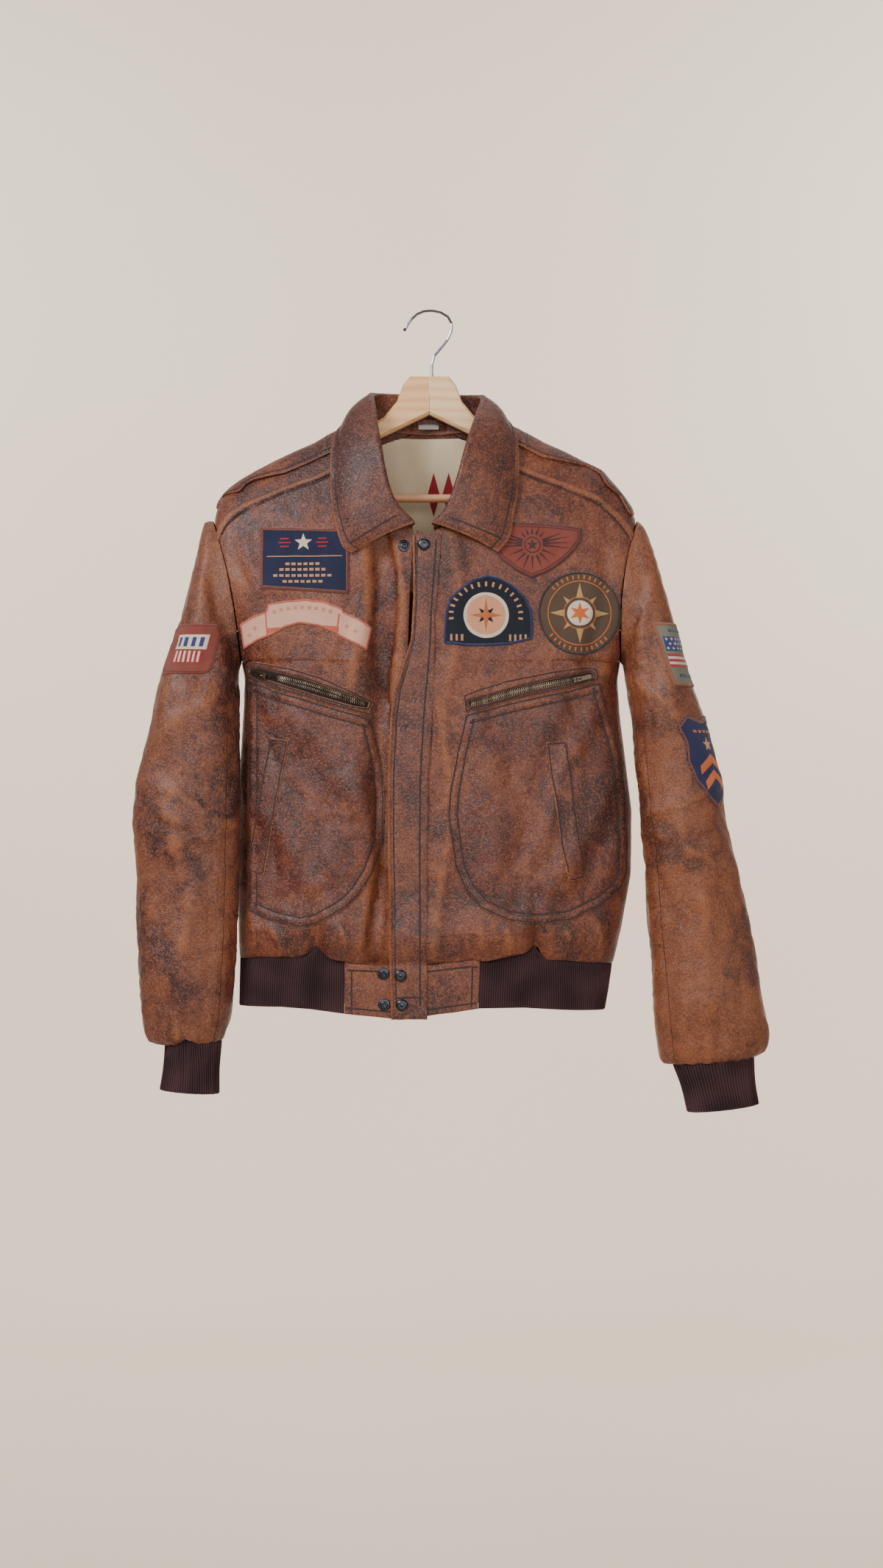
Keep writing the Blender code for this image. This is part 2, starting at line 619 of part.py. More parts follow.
def elbow_fold(side, row, angle):
    """Soft ridges across the front of the elbow and up the arm."""
    if row >= len(SLEEVE_RINGS[side]) - 1:
        return 0.0
    return 2.5 * math.sin(row * 2.1 + 1.3 * math.sin(angle)) * ease(row / 4)


def sleeve(side):
    """A two-piece sleeve, with its cuff."""
    grid = sleeve_grid(side)
    outward = normals(grid, ring=True)
    steps = grid.shape[1]
    low, high = (round(angle / RING_STEP) for angle in SEAM_ANGLES)
    if side == "right":
        low, high = (steps - high) % steps + 1, (steps - low) % steps + 1
    seam_a, seam_b = sorted((low, high))
    pieces = {"sleeve_under_": range(seam_a, seam_b + 1), "sleeve_top_": range(seam_b, seam_a + steps + 1)}
    sheets = {}
    for name, columns in pieces.items():
        index = [c % steps for c in columns]
        points = grid[:, index].copy()
        away = outward[:, index].copy()
        for end, neighbour in ((0, 1), (-1, -2)):
            inward = points[:, neighbour] - points[:, end]
            points[:, end] += inward / np.linalg.norm(inward, axis=1, keepdims=True) * SEAM_GAP * 1.3
        wall(name + side, points, points - away * LEATHER, "leather")
        sheets[name] = (points, away)
    cuff(side, grid[-1])
    return sheets["sleeve_top_"]


def along_line(points, count, closed):
    """Points at equal steps along a line."""
    line = np.vstack([points, points[:1]]) if closed else points
    steps = np.r_[0, np.cumsum(np.linalg.norm(np.diff(line, axis=0), axis=1))]
    places = np.linspace(0, steps[-1], count, endpoint=not closed)
    return np.stack([np.interp(places, steps, line[:, axis]) for axis in range(3)], axis=1)


def ribbed(name, top, bottom, ring):
    """A knit wall: ribs raised in its outer points over a plain inside."""
    grid = np.stack([top, bottom])
    outward = normals(grid, ring)
    raised = np.where(np.arange(grid.shape[1]) % 2 == 0, 0.0, -RIB_HEIGHT)[None, :, None]
    wall(name, grid + outward * raised, grid - outward * (KNIT + RIB_HEIGHT), "knit", ring)


def cuff(side, sleeve_end):
    outer, inner, middle_y, reach = CUFF_ENDS[side]
    top = along_line(sleeve_end + np.array([0, 0, -0.5]), 2 * CUFF_RIBS, closed=True)
    last_outer, last_inner, last_y, last_reach = SLEEVE_RINGS[side][-1]
    bottom = []
    for x, y, z in top:
        swing = (x - last_inner[0]) / (last_outer[0] - last_inner[0])
        bottom.append((mix(inner[0], outer[0], swing), middle_y + (y - last_y) * reach / last_reach,
                       mix(inner[1], outer[1], swing)))
    ribbed("cuff_" + side, top, np.array(bottom), ring=True)


def band_point(face, s, share, lift=0.0):
    """A point of the waistband, from the hem at share 0 to its lower edge at share 1."""
    side = side_of(s)
    x = mix(side_x(side, HEM_LEVEL), BAND_BOTTOM_X[side], share) * abs(s)
    hem = min(height(face, mix(s, s * nearby, 1), HEM_LEVEL) for nearby in (0.95, 1.0, 1.05)) - 1.0
    z = mix(hem, read(BAND_BOTTOM, x) if face == "front" else -826.0, share)
    reach = BAND_DEPTH[face] * max(1 - abs(s) ** SIDE_ROUNDNESS, 0) ** (1 / SIDE_ROUNDNESS) + lift
    return (x, MIDDLE_Y + (-reach if face == "front" else reach), z)


def band_s(x):
    return x / side_x("right" if x < 0 else "left", HEM_LEVEL) * (-1 if x < 0 else 1)


def waist_rib():
    """The knit waistband, from one leather tab round the back to the other."""
    front_right = np.linspace(band_s(TAB_RIGHT_X[0] - SEAM_GAP), -1, 120)
    back = np.linspace(-1, 1, 300)
    front_left = np.linspace(1, band_s(TAB_LEFT_X[1] + SEAM_GAP), 120)
    path = [("front", s) for s in front_right] + [("back", s) for s in back[1:-1]]
    path += [("front", s) for s in front_left]
    lines = [np.array([band_point(face, s, share) for face, s in path]) for share in (0, 1)]
    ends = [along_line(line, 2 * WAIST_RIBS + 1, closed=False)[::-1] for line in lines]
    ribbed("waist_rib", ends[0], ends[1], ring=False)


def waist_tab(side, x_range):
    rows = []
    for share in (0, 0.33, 0.66, 1):
        rows.append([band_point("front", band_s(x), share, lift=0.4) for x in np.linspace(*x_range, 9)])
    cloth("waist_tab_" + side, sheet_of(np.array(rows)))


def flap():
    """The wind flap, which lies over both fronts and the waist tabs."""
    levels = [mix(FLAP_TOP_LEVEL, 1.0, row / TOP_ROWS) for row in range(TOP_ROWS)] + LOWER_LEVELS
    low, high = [], []
    for level in levels:
        z = height("front", 0.0, level)
        line = np.linspace(read(FLAP_LEFT, z), read(FLAP_RIGHT, z), 6)
        row = []
        for x in line:
            s = x / side_x("right" if x < 0 else "left", level) * (-1 if x < 0 else 1)
            row.append(torso("front", s, level, folded=False))
        low.append(row)
    for z in (-800.0, FLAP_BOTTOM):
        line = np.linspace(read(FLAP_LEFT, z), read(FLAP_RIGHT, z), 6)
        low.append([(x, MIDDLE_Y - BAND_DEPTH["front"] - 1.4, z) for x in line])
    grid = np.array(low)
    grid[-3, :, 1] -= 1.0
    outward = normals(grid)
    wall("front_flap", grid + outward * FLAP_LIFT[1], grid + outward * FLAP_LIFT[0], "leather")


def surface_y(x, z):
    """y of the front at a place seen from the front."""
    s, level = locate("front", x, z)
    return torso("front", s, level, folded=False)[1]


def clear_of_torso(point, clearance):
    """Move a point outwards until it lies clear of the shoulders and chest."""
    x, y, z = point
    side = "right" if x < 0 else "left"
    ridge = read(SHOULDER_RIDGE, x)
    face = "front" if y < MIDDLE_Y else "back"
    a = depth(face, x / ARM_TOP_X[side] * (-1 if x < 0 else 1), 1.0)
    b = ridge - ARM_MIDDLE_Z
    for _ in range(4):
        u, v = (y - MIDDLE_Y) / a, (z - ARM_MIDDLE_Z) / b
        radius = math.hypot(u, v)
        slope_y, slope_z = u / (a * radius), v / (b * radius)
        steep = math.hypot(slope_y, slope_z)
        missing = clearance - (radius - 1) / steep
        if missing <= 0:
            break
        y += missing * slope_y / steep
        z += missing * slope_z / steep
    return np.array((x, y, z))


def smooth_line(points, count):
    """A Catmull-Rom line through the points."""
    points = np.array(points, float)
    padded = np.vstack([2 * points[0] - points[1], points, 2 * points[-1] - points[-2]])
    result = []
    for place in np.linspace(0, len(points) - 1, count):
        step = min(int(place), len(points) - 2)
        t = place - step
        a, b, c, d = padded[step:step + 4]
        result.append(0.5 * (2 * b + (c - a) * t + (2 * a - 5 * b + 4 * c - d) * t ** 2
                             + (3 * b - a - 3 * c + d) * t ** 3))
    return np.array(result)


def collar_lines():
    """Seam, roll and edge lines of the collar, from its right front end to its left one."""
    seams, rolls, edges = [], [], []
    for side in ("right", "left"):
        seam = [(x, surface_y(x, z), z) for x, z in COLLAR_SEAM[side]]
        seam.append((NECK_POINT[side], MIDDLE_Y, read(SHOULDER_RIDGE, NECK_POINT[side])))
        for x in (0.85 * NECK_POINT[side], 0.5 * NECK_POINT[side]):
            z = read(BACK_NECK, x)
            seam.append((x, torso("back", *locate("back", x, z), folded=False)[1], z))
        edge = []
        for step, (x, z) in enumerate(COLLAR_EDGE[side]):
            y = surface_y(x, z) - 3 if step < 7 else (MIDDLE_Y, 22, 30)[step - 7]
            edge.append((x, y, z))
        seams.append(seam)
        rolls.append(COLLAR_ROLL[side])
        edges.append(edge)
    (seam_x, seam_z), roll, (edge_x, edge_z) = COLLAR_BACK
    back_seam = (seam_x, torso("back", *locate("back", seam_x, seam_z), folded=False)[1], seam_z)
    middle = (back_seam, roll, (edge_x, 33, edge_z))
    lines = []
    for (right, left), centre in zip((seams, rolls, edges), middle):
        lines.append(smooth_line(list(right) + [centre] + list(left)[::-1], COLLAR_STATIONS))
    return lines


def collar():
    grid = []
    for seam, roll, edge in zip(*collar_lines()):
        up = roll - (seam + edge) / 2
        up /= np.linalg.norm(up)
        inward = seam - edge
        inward -= up * inward.dot(up)
        inward /= np.linalg.norm(inward)
        stand_top = roll - up * ROLL_RADIUS + inward * ROLL_RADIUS
        fall_top = roll - up * ROLL_RADIUS - inward * ROLL_RADIUS
        start = seam + (stand_top - seam) / np.linalg.norm(stand_top - seam) * 2.4
        section = [start, mix(start, stand_top, 0.5) - inward * 0.5, stand_top, roll, fall_top]
        for share in (0.25, 0.5, 0.75, 1.0):
            point = mix(fall_top, edge, share) - inward * 6 * math.sin(share * math.pi)
            near_arm = abs(point[0]) > 60 and point[2] > -205
            section.append(clear_of_torso(point, COLLAR_CLEARANCE + (3.2 if near_arm else 0)))
        grid.append(section)
    points = np.array(grid).transpose(1, 0, 2)[::-1]
    half = COLLAR_THICKNESS / 2
    wall("collar", moved(points, half), moved(points, -half), "leather")


def prism(name, outlines, matrix, reach):
    """A solid cutter: a flat filled outline, with holes, drawn out along its Z."""
    curve = bpy.data.curves.new(name, "CURVE")
    curve.dimensions = "2D"
    curve.fill_mode = "BOTH"
    curve.extrude = reach * MM / 2
    for outline in outlines:
        spline = curve.splines.new("POLY")
        spline.points.add(len(outline) - 1)
        spline.use_cyclic_u = True
        for point, (u, v) in zip(spline.points, outline):
            point.co = (u * MM, v * MM, 0, 1)
    return solid_from_curve(name, curve, matrix)


def solid_from_curve(name, curve, matrix, colour=None):
    """Turn a curve into a closed mesh object and remove the curve."""
    holder = bpy.data.objects.new(name + "_curve", curve)
    bpy.context.scene.collection.objects.link(holder)
    bpy.context.view_layer.update()
    shape = holder.evaluated_get(bpy.context.evaluated_depsgraph_get())
    mesh = bpy.data.meshes.new_from_object(shape)
    mesh.name = name
    bpy.data.objects.remove(holder)
    bpy.data.curves.remove(curve)
    body = bmesh.new()
    body.from_mesh(mesh)
    bmesh.ops.remove_doubles(body, verts=body.verts, dist=1e-6)
    bmesh.ops.recalc_face_normals(body, faces=body.faces)
    body.to_mesh(mesh)
    body.free()
    mesh.materials.clear()
    piece = add_object(name, mesh, colour)
    piece.matrix_world = matrix
    return piece


def facing(place, direction, up=(0, 0, 1)):
    """A matrix whose Z points along the direction and whose Y is near the given up."""
    z = Vector(direction).normalized()
    x = Vector(up).cross(z).normalized()
    y = z.cross(x)
    matrix = Matrix((x, y, z)).transposed().to_4x4()
    matrix.translation = Vector(place) * MM
    return matrix


def boolean(piece, cutter, operation):
    modifier = piece.modifiers.new(cutter.name, "BOOLEAN")
    modifier.object = cutter
    modifier.operation = operation
    modifier.solver = "EXACT"


def applique(name, sheet, outlines, layer, colour, middle=(0, 0), direction=(0, -1), reach=200):
    """A piece sewn on a panel: the panel's points moved out, kept within an outline."""
    way = Vector((direction[0], direction[1], 0)).normalized()
    place = Vector((middle[0], MIDDLE_Y - 34, middle[1])) + way * reach / 2
    matrix = facing(place, way)
    points, outward = near_outline(sheet, outlines[0], matrix, way)
    piece = wall(name, points + outward * layer[1], points + outward * layer[0], colour)
    boolean(piece, prism(name + "_outline", outlines, matrix, reach), "INTERSECT")
    return piece


def near_outline(sheet, outline, matrix, way):
    """The rows and columns of a sheet that reach just past an outline."""
    points, outward = sheet
    flat = (points * MM - np.array(matrix.translation)) @ np.array(matrix.to_3x3()) / MM
    low, high = np.min(outline, axis=0) - PATCH_MARGIN, np.max(outline, axis=0) + PATCH_MARGIN
    inside = np.all((flat[:, :, :2] > low) & (flat[:, :, :2] < high), axis=2)
    inside &= outward @ np.array(way) > 0.05
    rows, columns = np.nonzero(inside)
    part = np.s_[max(rows.min() - 1, 0):rows.max() + 2, max(columns.min() - 1, 0):columns.max() + 2]
    return points[part], outward[part]


def circle(centre, radius, steps=32):
    return [(centre[0] + radius * math.cos(2 * math.pi * k / steps),
             centre[1] + radius * math.sin(2 * math.pi * k / steps)) for k in range(steps)]


def inset(outline, distance):
    """Move a closed outline inwards."""
    points = np.array(outline, float)
    before, after = np.roll(points, 1, axis=0), np.roll(points, -1, axis=0)
    along = (after - before) / np.linalg.norm(after - before, axis=1, keepdims=True)
    area = np.sum(points[:, 0] * after[:, 1] - points[:, 1] * after[:, 0])
    side = np.stack([-along[:, 1], along[:, 0]], axis=1) * (1 if area > 0 else -1)
    return [tuple(p) for p in points + side * distance]


def front_appliques(side, sheet):
    pocket, frame, slot, welt = {
        "right": (POCKET_RIGHT, ZIP_FRAME_RIGHT, ZIP_SLOT_RIGHT, WELT_RIGHT),
        "left": (POCKET_LEFT, ZIP_FRAME_LEFT, ZIP_SLOT_LEFT, WELT_LEFT)}[side]
    applique("pocket_" + side, sheet, [pocket], FIRST_LAYER, "leather")
    applique("zip_frame_" + side, sheet, [frame, slot], FIRST_LAYER, "leather")
    applique("zip_chain_" + side, sheet, [inset(slot, SLOT_INSET)], CHAIN_LAYER, "bronze")
    applique("welt_" + side, sheet, [welt], SECOND_LAYER, "leather")


def seat(piece, place, direction=(0, 1, 0)):
    """Where a line from outside meets a piece, and the way the piece faces there."""
    body = bmesh.new()
    body.from_mesh(piece.data)
    tree = BVHTree.FromBMesh(body)
    hit, normal, _, _ = tree.ray_cast(Vector(place) * MM, Vector(direction))
    body.free()
    return hit / MM, normal


def turned(name, profile, matrix, colour, steps=12):
    """A turned piece from a profile of (radius, height), outer side from top to bottom."""
    mesh = bpy.data.meshes.new(name)
    mesh.from_pydata([(r * MM, 0, h * MM) for r, h in profile], [(k, k + 1) for k in range(len(profile) - 1)], [])
    piece = add_object(name, mesh, colour)
    screw = piece.modifiers.new("turn", "SCREW")
    screw.steps = steps
    screw.render_steps = steps
    screw.use_merge_vertices = True
    screw.merge_threshold = 0.00001
    piece.matrix_world = matrix
    return piece


def snaps():
    radius = SNAP_RADIUS
    profiles = {
        "cap": [(0, 3.0), (0.45 * radius, 2.8), (0.8 * radius, 2.0), (radius, 0.9), (radius, 0), (0, 0)],
        "socket": [(0, 0.7), (0.3 * radius, 0.8), (0.42 * radius, 1.8), (0.8 * radius, 1.7), (radius, 0.7),
                   (radius, 0), (0, 0)]}
    for name, (carrier, (x, z), kind) in SNAPS.items():
        hit, normal = seat(bpy.data.objects[carrier], (x, -300, z))
        turned(name, profiles[kind], facing(hit + normal * SNAP_LIFT, normal), "gunmetal")


def rounded_box(name, size, colour=None, bevel=0.5):
    body = bmesh.new()
    bmesh.ops.create_cube(body, size=1.0)
    bmesh.ops.scale(body, verts=body.verts, vec=[length * MM for length in size])
    mesh = bpy.data.meshes.new(name)
    body.to_mesh(mesh)
    body.free()
    piece = add_object(name, mesh, colour)
    edges = piece.modifiers.new("edges", "BEVEL")
    edges.width = bevel * MM
    return piece


def wire(name, points, radius, colour=None, radii=None, resolution=2):
    curve = bpy.data.curves.new(name, "CURVE")
    curve.dimensions = "3D"
    curve.bevel_depth = radius * MM
    curve.bevel_resolution = resolution
    curve.use_fill_caps = True
    spline = curve.splines.new("POLY")
    spline.points.add(len(points) - 1)
    for step, (point, place) in enumerate(zip(spline.points, points)):
        point.co = (*[c * MM for c in place], 1)
        point.radius = radii[step] if radii else 1.0
    return solid_from_curve(name, curve, Matrix(), colour)


def zip_slider(side):
    """A slider on its chain, with a bail that the pull tab's end bar turns under."""
    (x, z), (tip_x, tip_z) = SLIDERS[side]
    hit, normal = seat(bpy.data.objects["front_" + side], (x, -300, z))
    tip, _ = seat(bpy.data.objects["front_" + side], (tip_x, -300, tip_z))
    along = tip - hit
    along -= normal * along.dot(normal)
    across = normal.cross(along)
    place = facing(hit + normal * (SLIDER_LIFT + SLIDER_SIZE[2] / 2), normal, up=across)
    body = rounded_box("zip_slider_" + side, SLIDER_SIZE, "bronze")
    body.matrix_world = place
    half = SLIDER_SIZE[2] / 2
    path = [(-3.4, 0, -0.3), (-3.2, 0, 1.2), (-2.2, 0, 2.2), (-0.8, 0, BAIL_HEIGHT), (0.8, 0, BAIL_HEIGHT),
            (2.2, 0, 2.2), (3.2, 0, 1.2), (3.4, 0, -0.3)]
    bail = wire("zip_bail_" + side, [(u, v, w + half) for u, v, w in path], BAIL_WIRE)
    bail.matrix_world = place
    boolean(body, bail, "UNION")
    axis_place = hit + normal * (SLIDER_LIFT + SLIDER_SIZE[2] + PULL_AXIS_HEIGHT)
    turn = facing(axis_place, normal, up=across) @ Matrix.Rotation(math.radians(PULL_TILT), 4, "Y")
    pull_tab(side, turn)


def pull_tab(side, matrix):
    half = PULL_WIDTH / 2
    outline = [(-0.6, -half + 0.6), (0, -half), (PULL_LENGTH - 2, -half), (PULL_LENGTH, -half + 1.5),
               (PULL_LENGTH, half - 1.5), (PULL_LENGTH - 2, half), (0, half), (-0.6, half - 0.6)]
    start, end, reach = PULL_WINDOW
    window = [(start, -reach), (end, -reach), (end, reach), (start, reach)]
    curve = bpy.data.curves.new("zip_pull_" + side, "CURVE")
    curve.dimensions = "2D"
    curve.fill_mode = "BOTH"
    curve.extrude = PULL_THICKNESS * MM / 2
    for loop in (outline, window):
        spline = curve.splines.new("POLY")
        spline.points.add(len(loop) - 1)
        spline.use_cyclic_u = True
        for point, (u, v) in zip(spline.points, loop):
            point.co = (u * MM, v * MM, 0, 1)
    solid_from_curve("zip_pull_" + side, curve, matrix, "bronze")


def inside_neck(sheet):
    """Lining behind the neck, its hanging loop and a plain label."""
    points, outward = sheet
    low, high = LEATHER + 0.3, LEATHER + 1.3
    lining = wall("lining", points - outward * low, points - outward * high, "lining")
    outline = [(-66, -330), (64, -330), (64, -172), (36, -152), (-38, -152), (-66, -172)]
    boolean(lining, prism("lining_outline", [outline], facing((0, 100, 0), (0, -1, 0)), 215), "INTERSECT")
    stand = bpy.data.objects["collar"]
    stand_y = min(seat(stand, (x, -30, z))[0].y for x in (-13, 0, 11) for z in (-137, -129))
    label = rounded_box("label", (24, 0.6, 8), "label", bevel=0.1)
    label.matrix_world = Matrix.Translation(Vector((-1, stand_y - 0.6, -133)) * MM)
    line = smooth_line([(-21, 1.2, -137), (-18, 0, -131.5), (-12, -1.6, -129.5), (0, -2.2, -129),
                        (9, -1.6, -129.5), (15, 0, -131.5), (18, 1.2, -137)], 11)
    end_y = min(seat(stand, (x, -30, -136))[0].y for x in (-21, 18)) - LOOP_THICKNESS - 0.4
    grid = np.array([[(x, min(end_y, stand_y - 2.6) + y - 1.2, z + 2.5 - 5 * k) for x, y, z in line]
                     for k in range(2)])
    cloth("hanger_loop", sheet_of(grid), thickness=-LOOP_THICKNESS)


def under_ridge(x, y):
    """Height just under the shoulder cloth above a point of the hanger."""
    side = "right" if x < 0 else "left"
    reach = depth("front" if y < MIDDLE_Y else "back", x / ARM_TOP_X[side] * (-1 if x < 0 else 1), 1.0)
    rise = math.sqrt(max(1 - ((y - MIDDLE_Y) / reach) ** 2, 0))
    return ARM_MIDDLE_Z + (read(SHOULDER_RIDGE, x) - ARM_MIDDLE_Z) * rise - (LEATHER + 1.0) / 0.88


def hanger_arm(side):
    """Half of the hanger's board, from the mitre joint to the shoulder tip."""
    sign = -1 if side == "right" else 1
    grid = []
    stations = [0.15, 10, 23, 27, 31, 39, 47, 55, 68, 85, 105, 125, 150, 175, 197, ARM_TIP_X]
    half = ARM_THICKNESS / 2
    for out in stations:
        x = sign * out
        y = ARM_SET_BACK * out / ARM_TIP_X
        crown = read(ARM_TOP, out) if out <= 55 else min(under_ridge(x, y), mix(-126, -139, (out - 55) / 25)
                                                         if out < 80 else 0)
        bottom = read(ARM_BOTTOM, out)
        shrink = 0.8 if out == ARM_TIP_X else 1.0
        width = half * shrink
        crown -= 2 if out == ARM_TIP_X else 0
        section = [(0, crown), (-0.6 * width, crown - 1.2), (-width, crown - 5), (-width, bottom + 4),
                   (-0.6 * width, bottom + 0.8), (0, bottom), (0.6 * width, bottom + 0.8), (width, bottom + 4),
                   (width, crown - 5), (0.6 * width, crown - 1.2)]
        if out > 60:
            section = [(dy, min(z, under_ridge(x, y + dy))) for dy, z in section]
        grid.append([(x, y + dy, z) for dy, z in section])
    body = bmesh.new()
    rings = [[body.verts.new([c * MM for c in point]) for point in ring] for ring in grid]
    for first, second in zip(rings, rings[1:]):
        for k in range(len(first)):
            n = (k + 1) % len(first)
            body.faces.new((first[k], first[n], second[n], second[k]))
    body.faces.new(rings[0])
    body.faces.new(rings[-1])
    bmesh.ops.recalc_face_normals(body, faces=body.faces)
    mesh = bpy.data.meshes.new("hanger_board_" + side)
    body.to_mesh(mesh)
    body.free()
    mesh.shade_smooth()
    mesh.set_sharp_from_angle(angle=math.radians(45))
    return add_object("hanger_board_" + side, mesh, "wood")


def rod(name, radius, start, end, colour=None):
    length = (Vector(end) - Vector(start)).length
    body = bmesh.new()
    bmesh.ops.create_cone(body, cap_ends=True, segments=20, radius1=radius * MM, radius2=radius * MM,
                          depth=length * MM)
    mesh = bpy.data.meshes.new(name)
    body.to_mesh(mesh)
    body.free()
    mesh.shade_smooth()
    mesh.set_sharp_from_angle(angle=math.radians(45))
    piece = add_object(name, mesh, colour)
    middle = (Vector(start) + Vector(end)) / 2
    direction = Vector(end) - Vector(start)
    up = (0, 1, 0) if abs(direction.z) > abs(direction.x) else (0, 0, 1)
    piece.matrix_world = facing(middle, direction, up=up)
    return piece


def hanger():
    bar_y = ARM_SET_BACK * BAR_END_X / ARM_TIP_X
    rod("hanger_bar", BAR_RADIUS, (-BAR_END_X, bar_y, BAR_Z), (BAR_END_X, bar_y, BAR_Z), "wood")
    socket = rod("bar_socket", BAR_RADIUS + SEAM_GAP, (-BAR_END_X - 0.4, bar_y, BAR_Z),
                 (BAR_END_X + 0.4, bar_y, BAR_Z))
    bottom = HOOK_PATH[0]
    bore = rod("hook_bore", HOOK_RADIUS + SEAM_GAP, (bottom[0], 0, bottom[1] - 0.4), (bottom[0], 0, -60))
    for side in ("right", "left"):
        arm = hanger_arm(side)
        boolean(arm, socket, "DIFFERENCE")
        if side == "left":
            boolean(arm, bore, "DIFFERENCE")
    radii = [1.0] * (len(HOOK_PATH) - 1) + [0.45]
    path = [(x, 0, z) for x, z in HOOK_PATH]
    tip = Vector(path[-1])
    before = Vector(path[-2])
    away = (tip - before).normalized()
    path[-1:] = [tuple(tip - away * 2), tuple(tip), tuple(tip + away * 1.8)]
    radii[-1:] = [1.0, 1.5, 0.5]
    wire("hook", path, HOOK_RADIUS, "chrome", radii)


def jacket():
    fronts = {side: front_grid(side) for side in ("right", "left")}
    for side, grid in fronts.items():
        cloth("front_" + side, grid)
        yoke = yoke_grid(side)
        cloth("yoke_" + side, yoke)
        epaulette(side, yoke)
        front_appliques(side, grid)
    back = back_grid()
    cloth("back", back)
    collar()
    flap()
    waist_rib()
    waist_tab("right", TAB_RIGHT_X)
    waist_tab("left", TAB_LEFT_X)
    inside_neck(back)
    right, left = fronts["right"], fronts["left"]
    applique("patch_chest_panel", right, [PATCH_PANEL], FIRST_LAYER, "navy")
    applique("patch_chest_scroll", right, [PATCH_SCROLL], FIRST_LAYER, "pink")
    applique("patch_wing", left, [PATCH_WING], FIRST_LAYER, "brick")
    applique("patch_arch", left, [PATCH_ARCH], FIRST_LAYER, "navy")
    applique("patch_disc", left, [circle(*PATCH_DISC)], FIRST_LAYER, "brown")
    tops = {side: sleeve(side) for side in ("right", "left")}
    for name, side, (middle, way, outline), colour in (
            ("patch_sleeve_square", "right", PATCH_SQUARE, "brick"),
            ("patch_sleeve_stripes", "left", PATCH_STRIPES, "grey"),
            ("patch_sleeve_shield", "left", PATCH_SHIELD, "navy")):
        applique(name, tops[side], [outline], FIRST_LAYER, colour, middle, way, reach=90)
    snaps()
    for side in ("right", "left"):
        zip_slider(side)
    hanger()


def main():
    for item in list(bpy.data.objects):
        bpy.data.objects.remove(item)
    for name in ("leather_jacket", "cutters"):
        collection = bpy.data.collections.new(name)
        bpy.context.scene.collection.children.link(collection)
    jacket()


main()
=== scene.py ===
"""Looks of the worn leather jacket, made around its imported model.

The origin, the axes and the sizes are the model's: millimetres here, metres in each mesh. Right and left
are the wearer's, so right is at -X.
"""

import functools
import json
import math

import bmesh
import bpy
import numpy as np
from mathutils import Matrix, Vector, noise
from mathutils.bvhtree import BVHTree
from mathutils.geometry import delaunay_2d_cdt

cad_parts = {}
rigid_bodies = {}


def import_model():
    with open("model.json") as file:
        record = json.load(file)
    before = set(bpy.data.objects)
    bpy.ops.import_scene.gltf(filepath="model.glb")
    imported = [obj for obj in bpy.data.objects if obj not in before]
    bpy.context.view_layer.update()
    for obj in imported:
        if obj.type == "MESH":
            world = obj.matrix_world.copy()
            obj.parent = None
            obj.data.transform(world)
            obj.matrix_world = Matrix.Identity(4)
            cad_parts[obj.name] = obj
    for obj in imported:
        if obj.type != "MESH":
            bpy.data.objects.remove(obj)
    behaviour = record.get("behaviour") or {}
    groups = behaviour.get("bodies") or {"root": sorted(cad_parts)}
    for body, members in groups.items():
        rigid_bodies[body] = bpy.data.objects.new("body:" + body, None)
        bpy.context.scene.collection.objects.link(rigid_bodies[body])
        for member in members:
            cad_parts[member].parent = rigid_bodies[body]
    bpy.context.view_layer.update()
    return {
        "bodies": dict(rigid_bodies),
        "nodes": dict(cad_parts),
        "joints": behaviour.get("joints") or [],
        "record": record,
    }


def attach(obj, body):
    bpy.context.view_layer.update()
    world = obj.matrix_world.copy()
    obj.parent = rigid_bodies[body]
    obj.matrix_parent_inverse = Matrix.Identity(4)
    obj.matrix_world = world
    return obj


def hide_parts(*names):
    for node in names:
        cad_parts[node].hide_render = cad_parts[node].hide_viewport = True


MM = 0.001
SIGN = {"right": -1, "left": 1}
SIDES = ("right", "left")
LEATHER = 1.6
KNIT = 2.2
SEAM_GAP = 0.3
# Painted shade for the inner faces: a negative per-point value, which the materials paint darker.
INNER_PAINTED_SHADE = -0.3
SMALLEST_SIDE = 0.011
SQUARE_MARGIN = 1.02
MIDDLE_Y = -8.0
FRONT_DEPTH = 62.0
BACK_DEPTH = 50.0
FULL_DEPTH = {"front": FRONT_DEPTH, "back": BACK_DEPTH}
ARM_DEPTH = {"front": 44.0, "back": 38.0}
SIDE_ROUNDNESS = 2.5
ARM_MIDDLE_Z = -334.0
ARM_PIT_Z = -418.0
ARM_TOP_X = {"right": -255.0, "left": 245.0}
ARM_PIT_X = {"right": -222.0, "left": 226.0}
ARM_BOW = {"right": 7.0, "left": -10.0}
HEM_LEVEL = 5.5
YOKE_FRONT_LEVEL = 0.467
YOKE_BACK_LEVEL = 0.36
SEAM_LEVEL = 0.0018
NECK_GAP = 0.008
BLOUSE_RISE = 6.0
BLOUSE_DROP = 2.0
SHOULDER_RIDGE = [
    (-255, -250), (-252, -237), (-246, -224), (-236, -213), (-222, -203), (-204, -192.5), (-182, -181),
    (-158.6, -170), (-135, -159.5), (-117.6, -149), (-80, -133), (0, -97), (80, -130), (116, -149),
    (136, -159.5), (159.5, -170), (181, -181), (204, -192), (213, -203), (222, -213), (230, -223),
    (238, -235), (245, -250)]
SIDE_SEAM = {
    "right": [(-767, -225), (-680, -228), (-560, -226), (-480, -221), (-440, -219), (-418, -222)],
    "left": [(-774, 217), (-765, 220), (-727, 229), (-670, 239), (-592, 240), (-530, 232), (-480, 226),
             (-440, 223), (-418, 226)]}
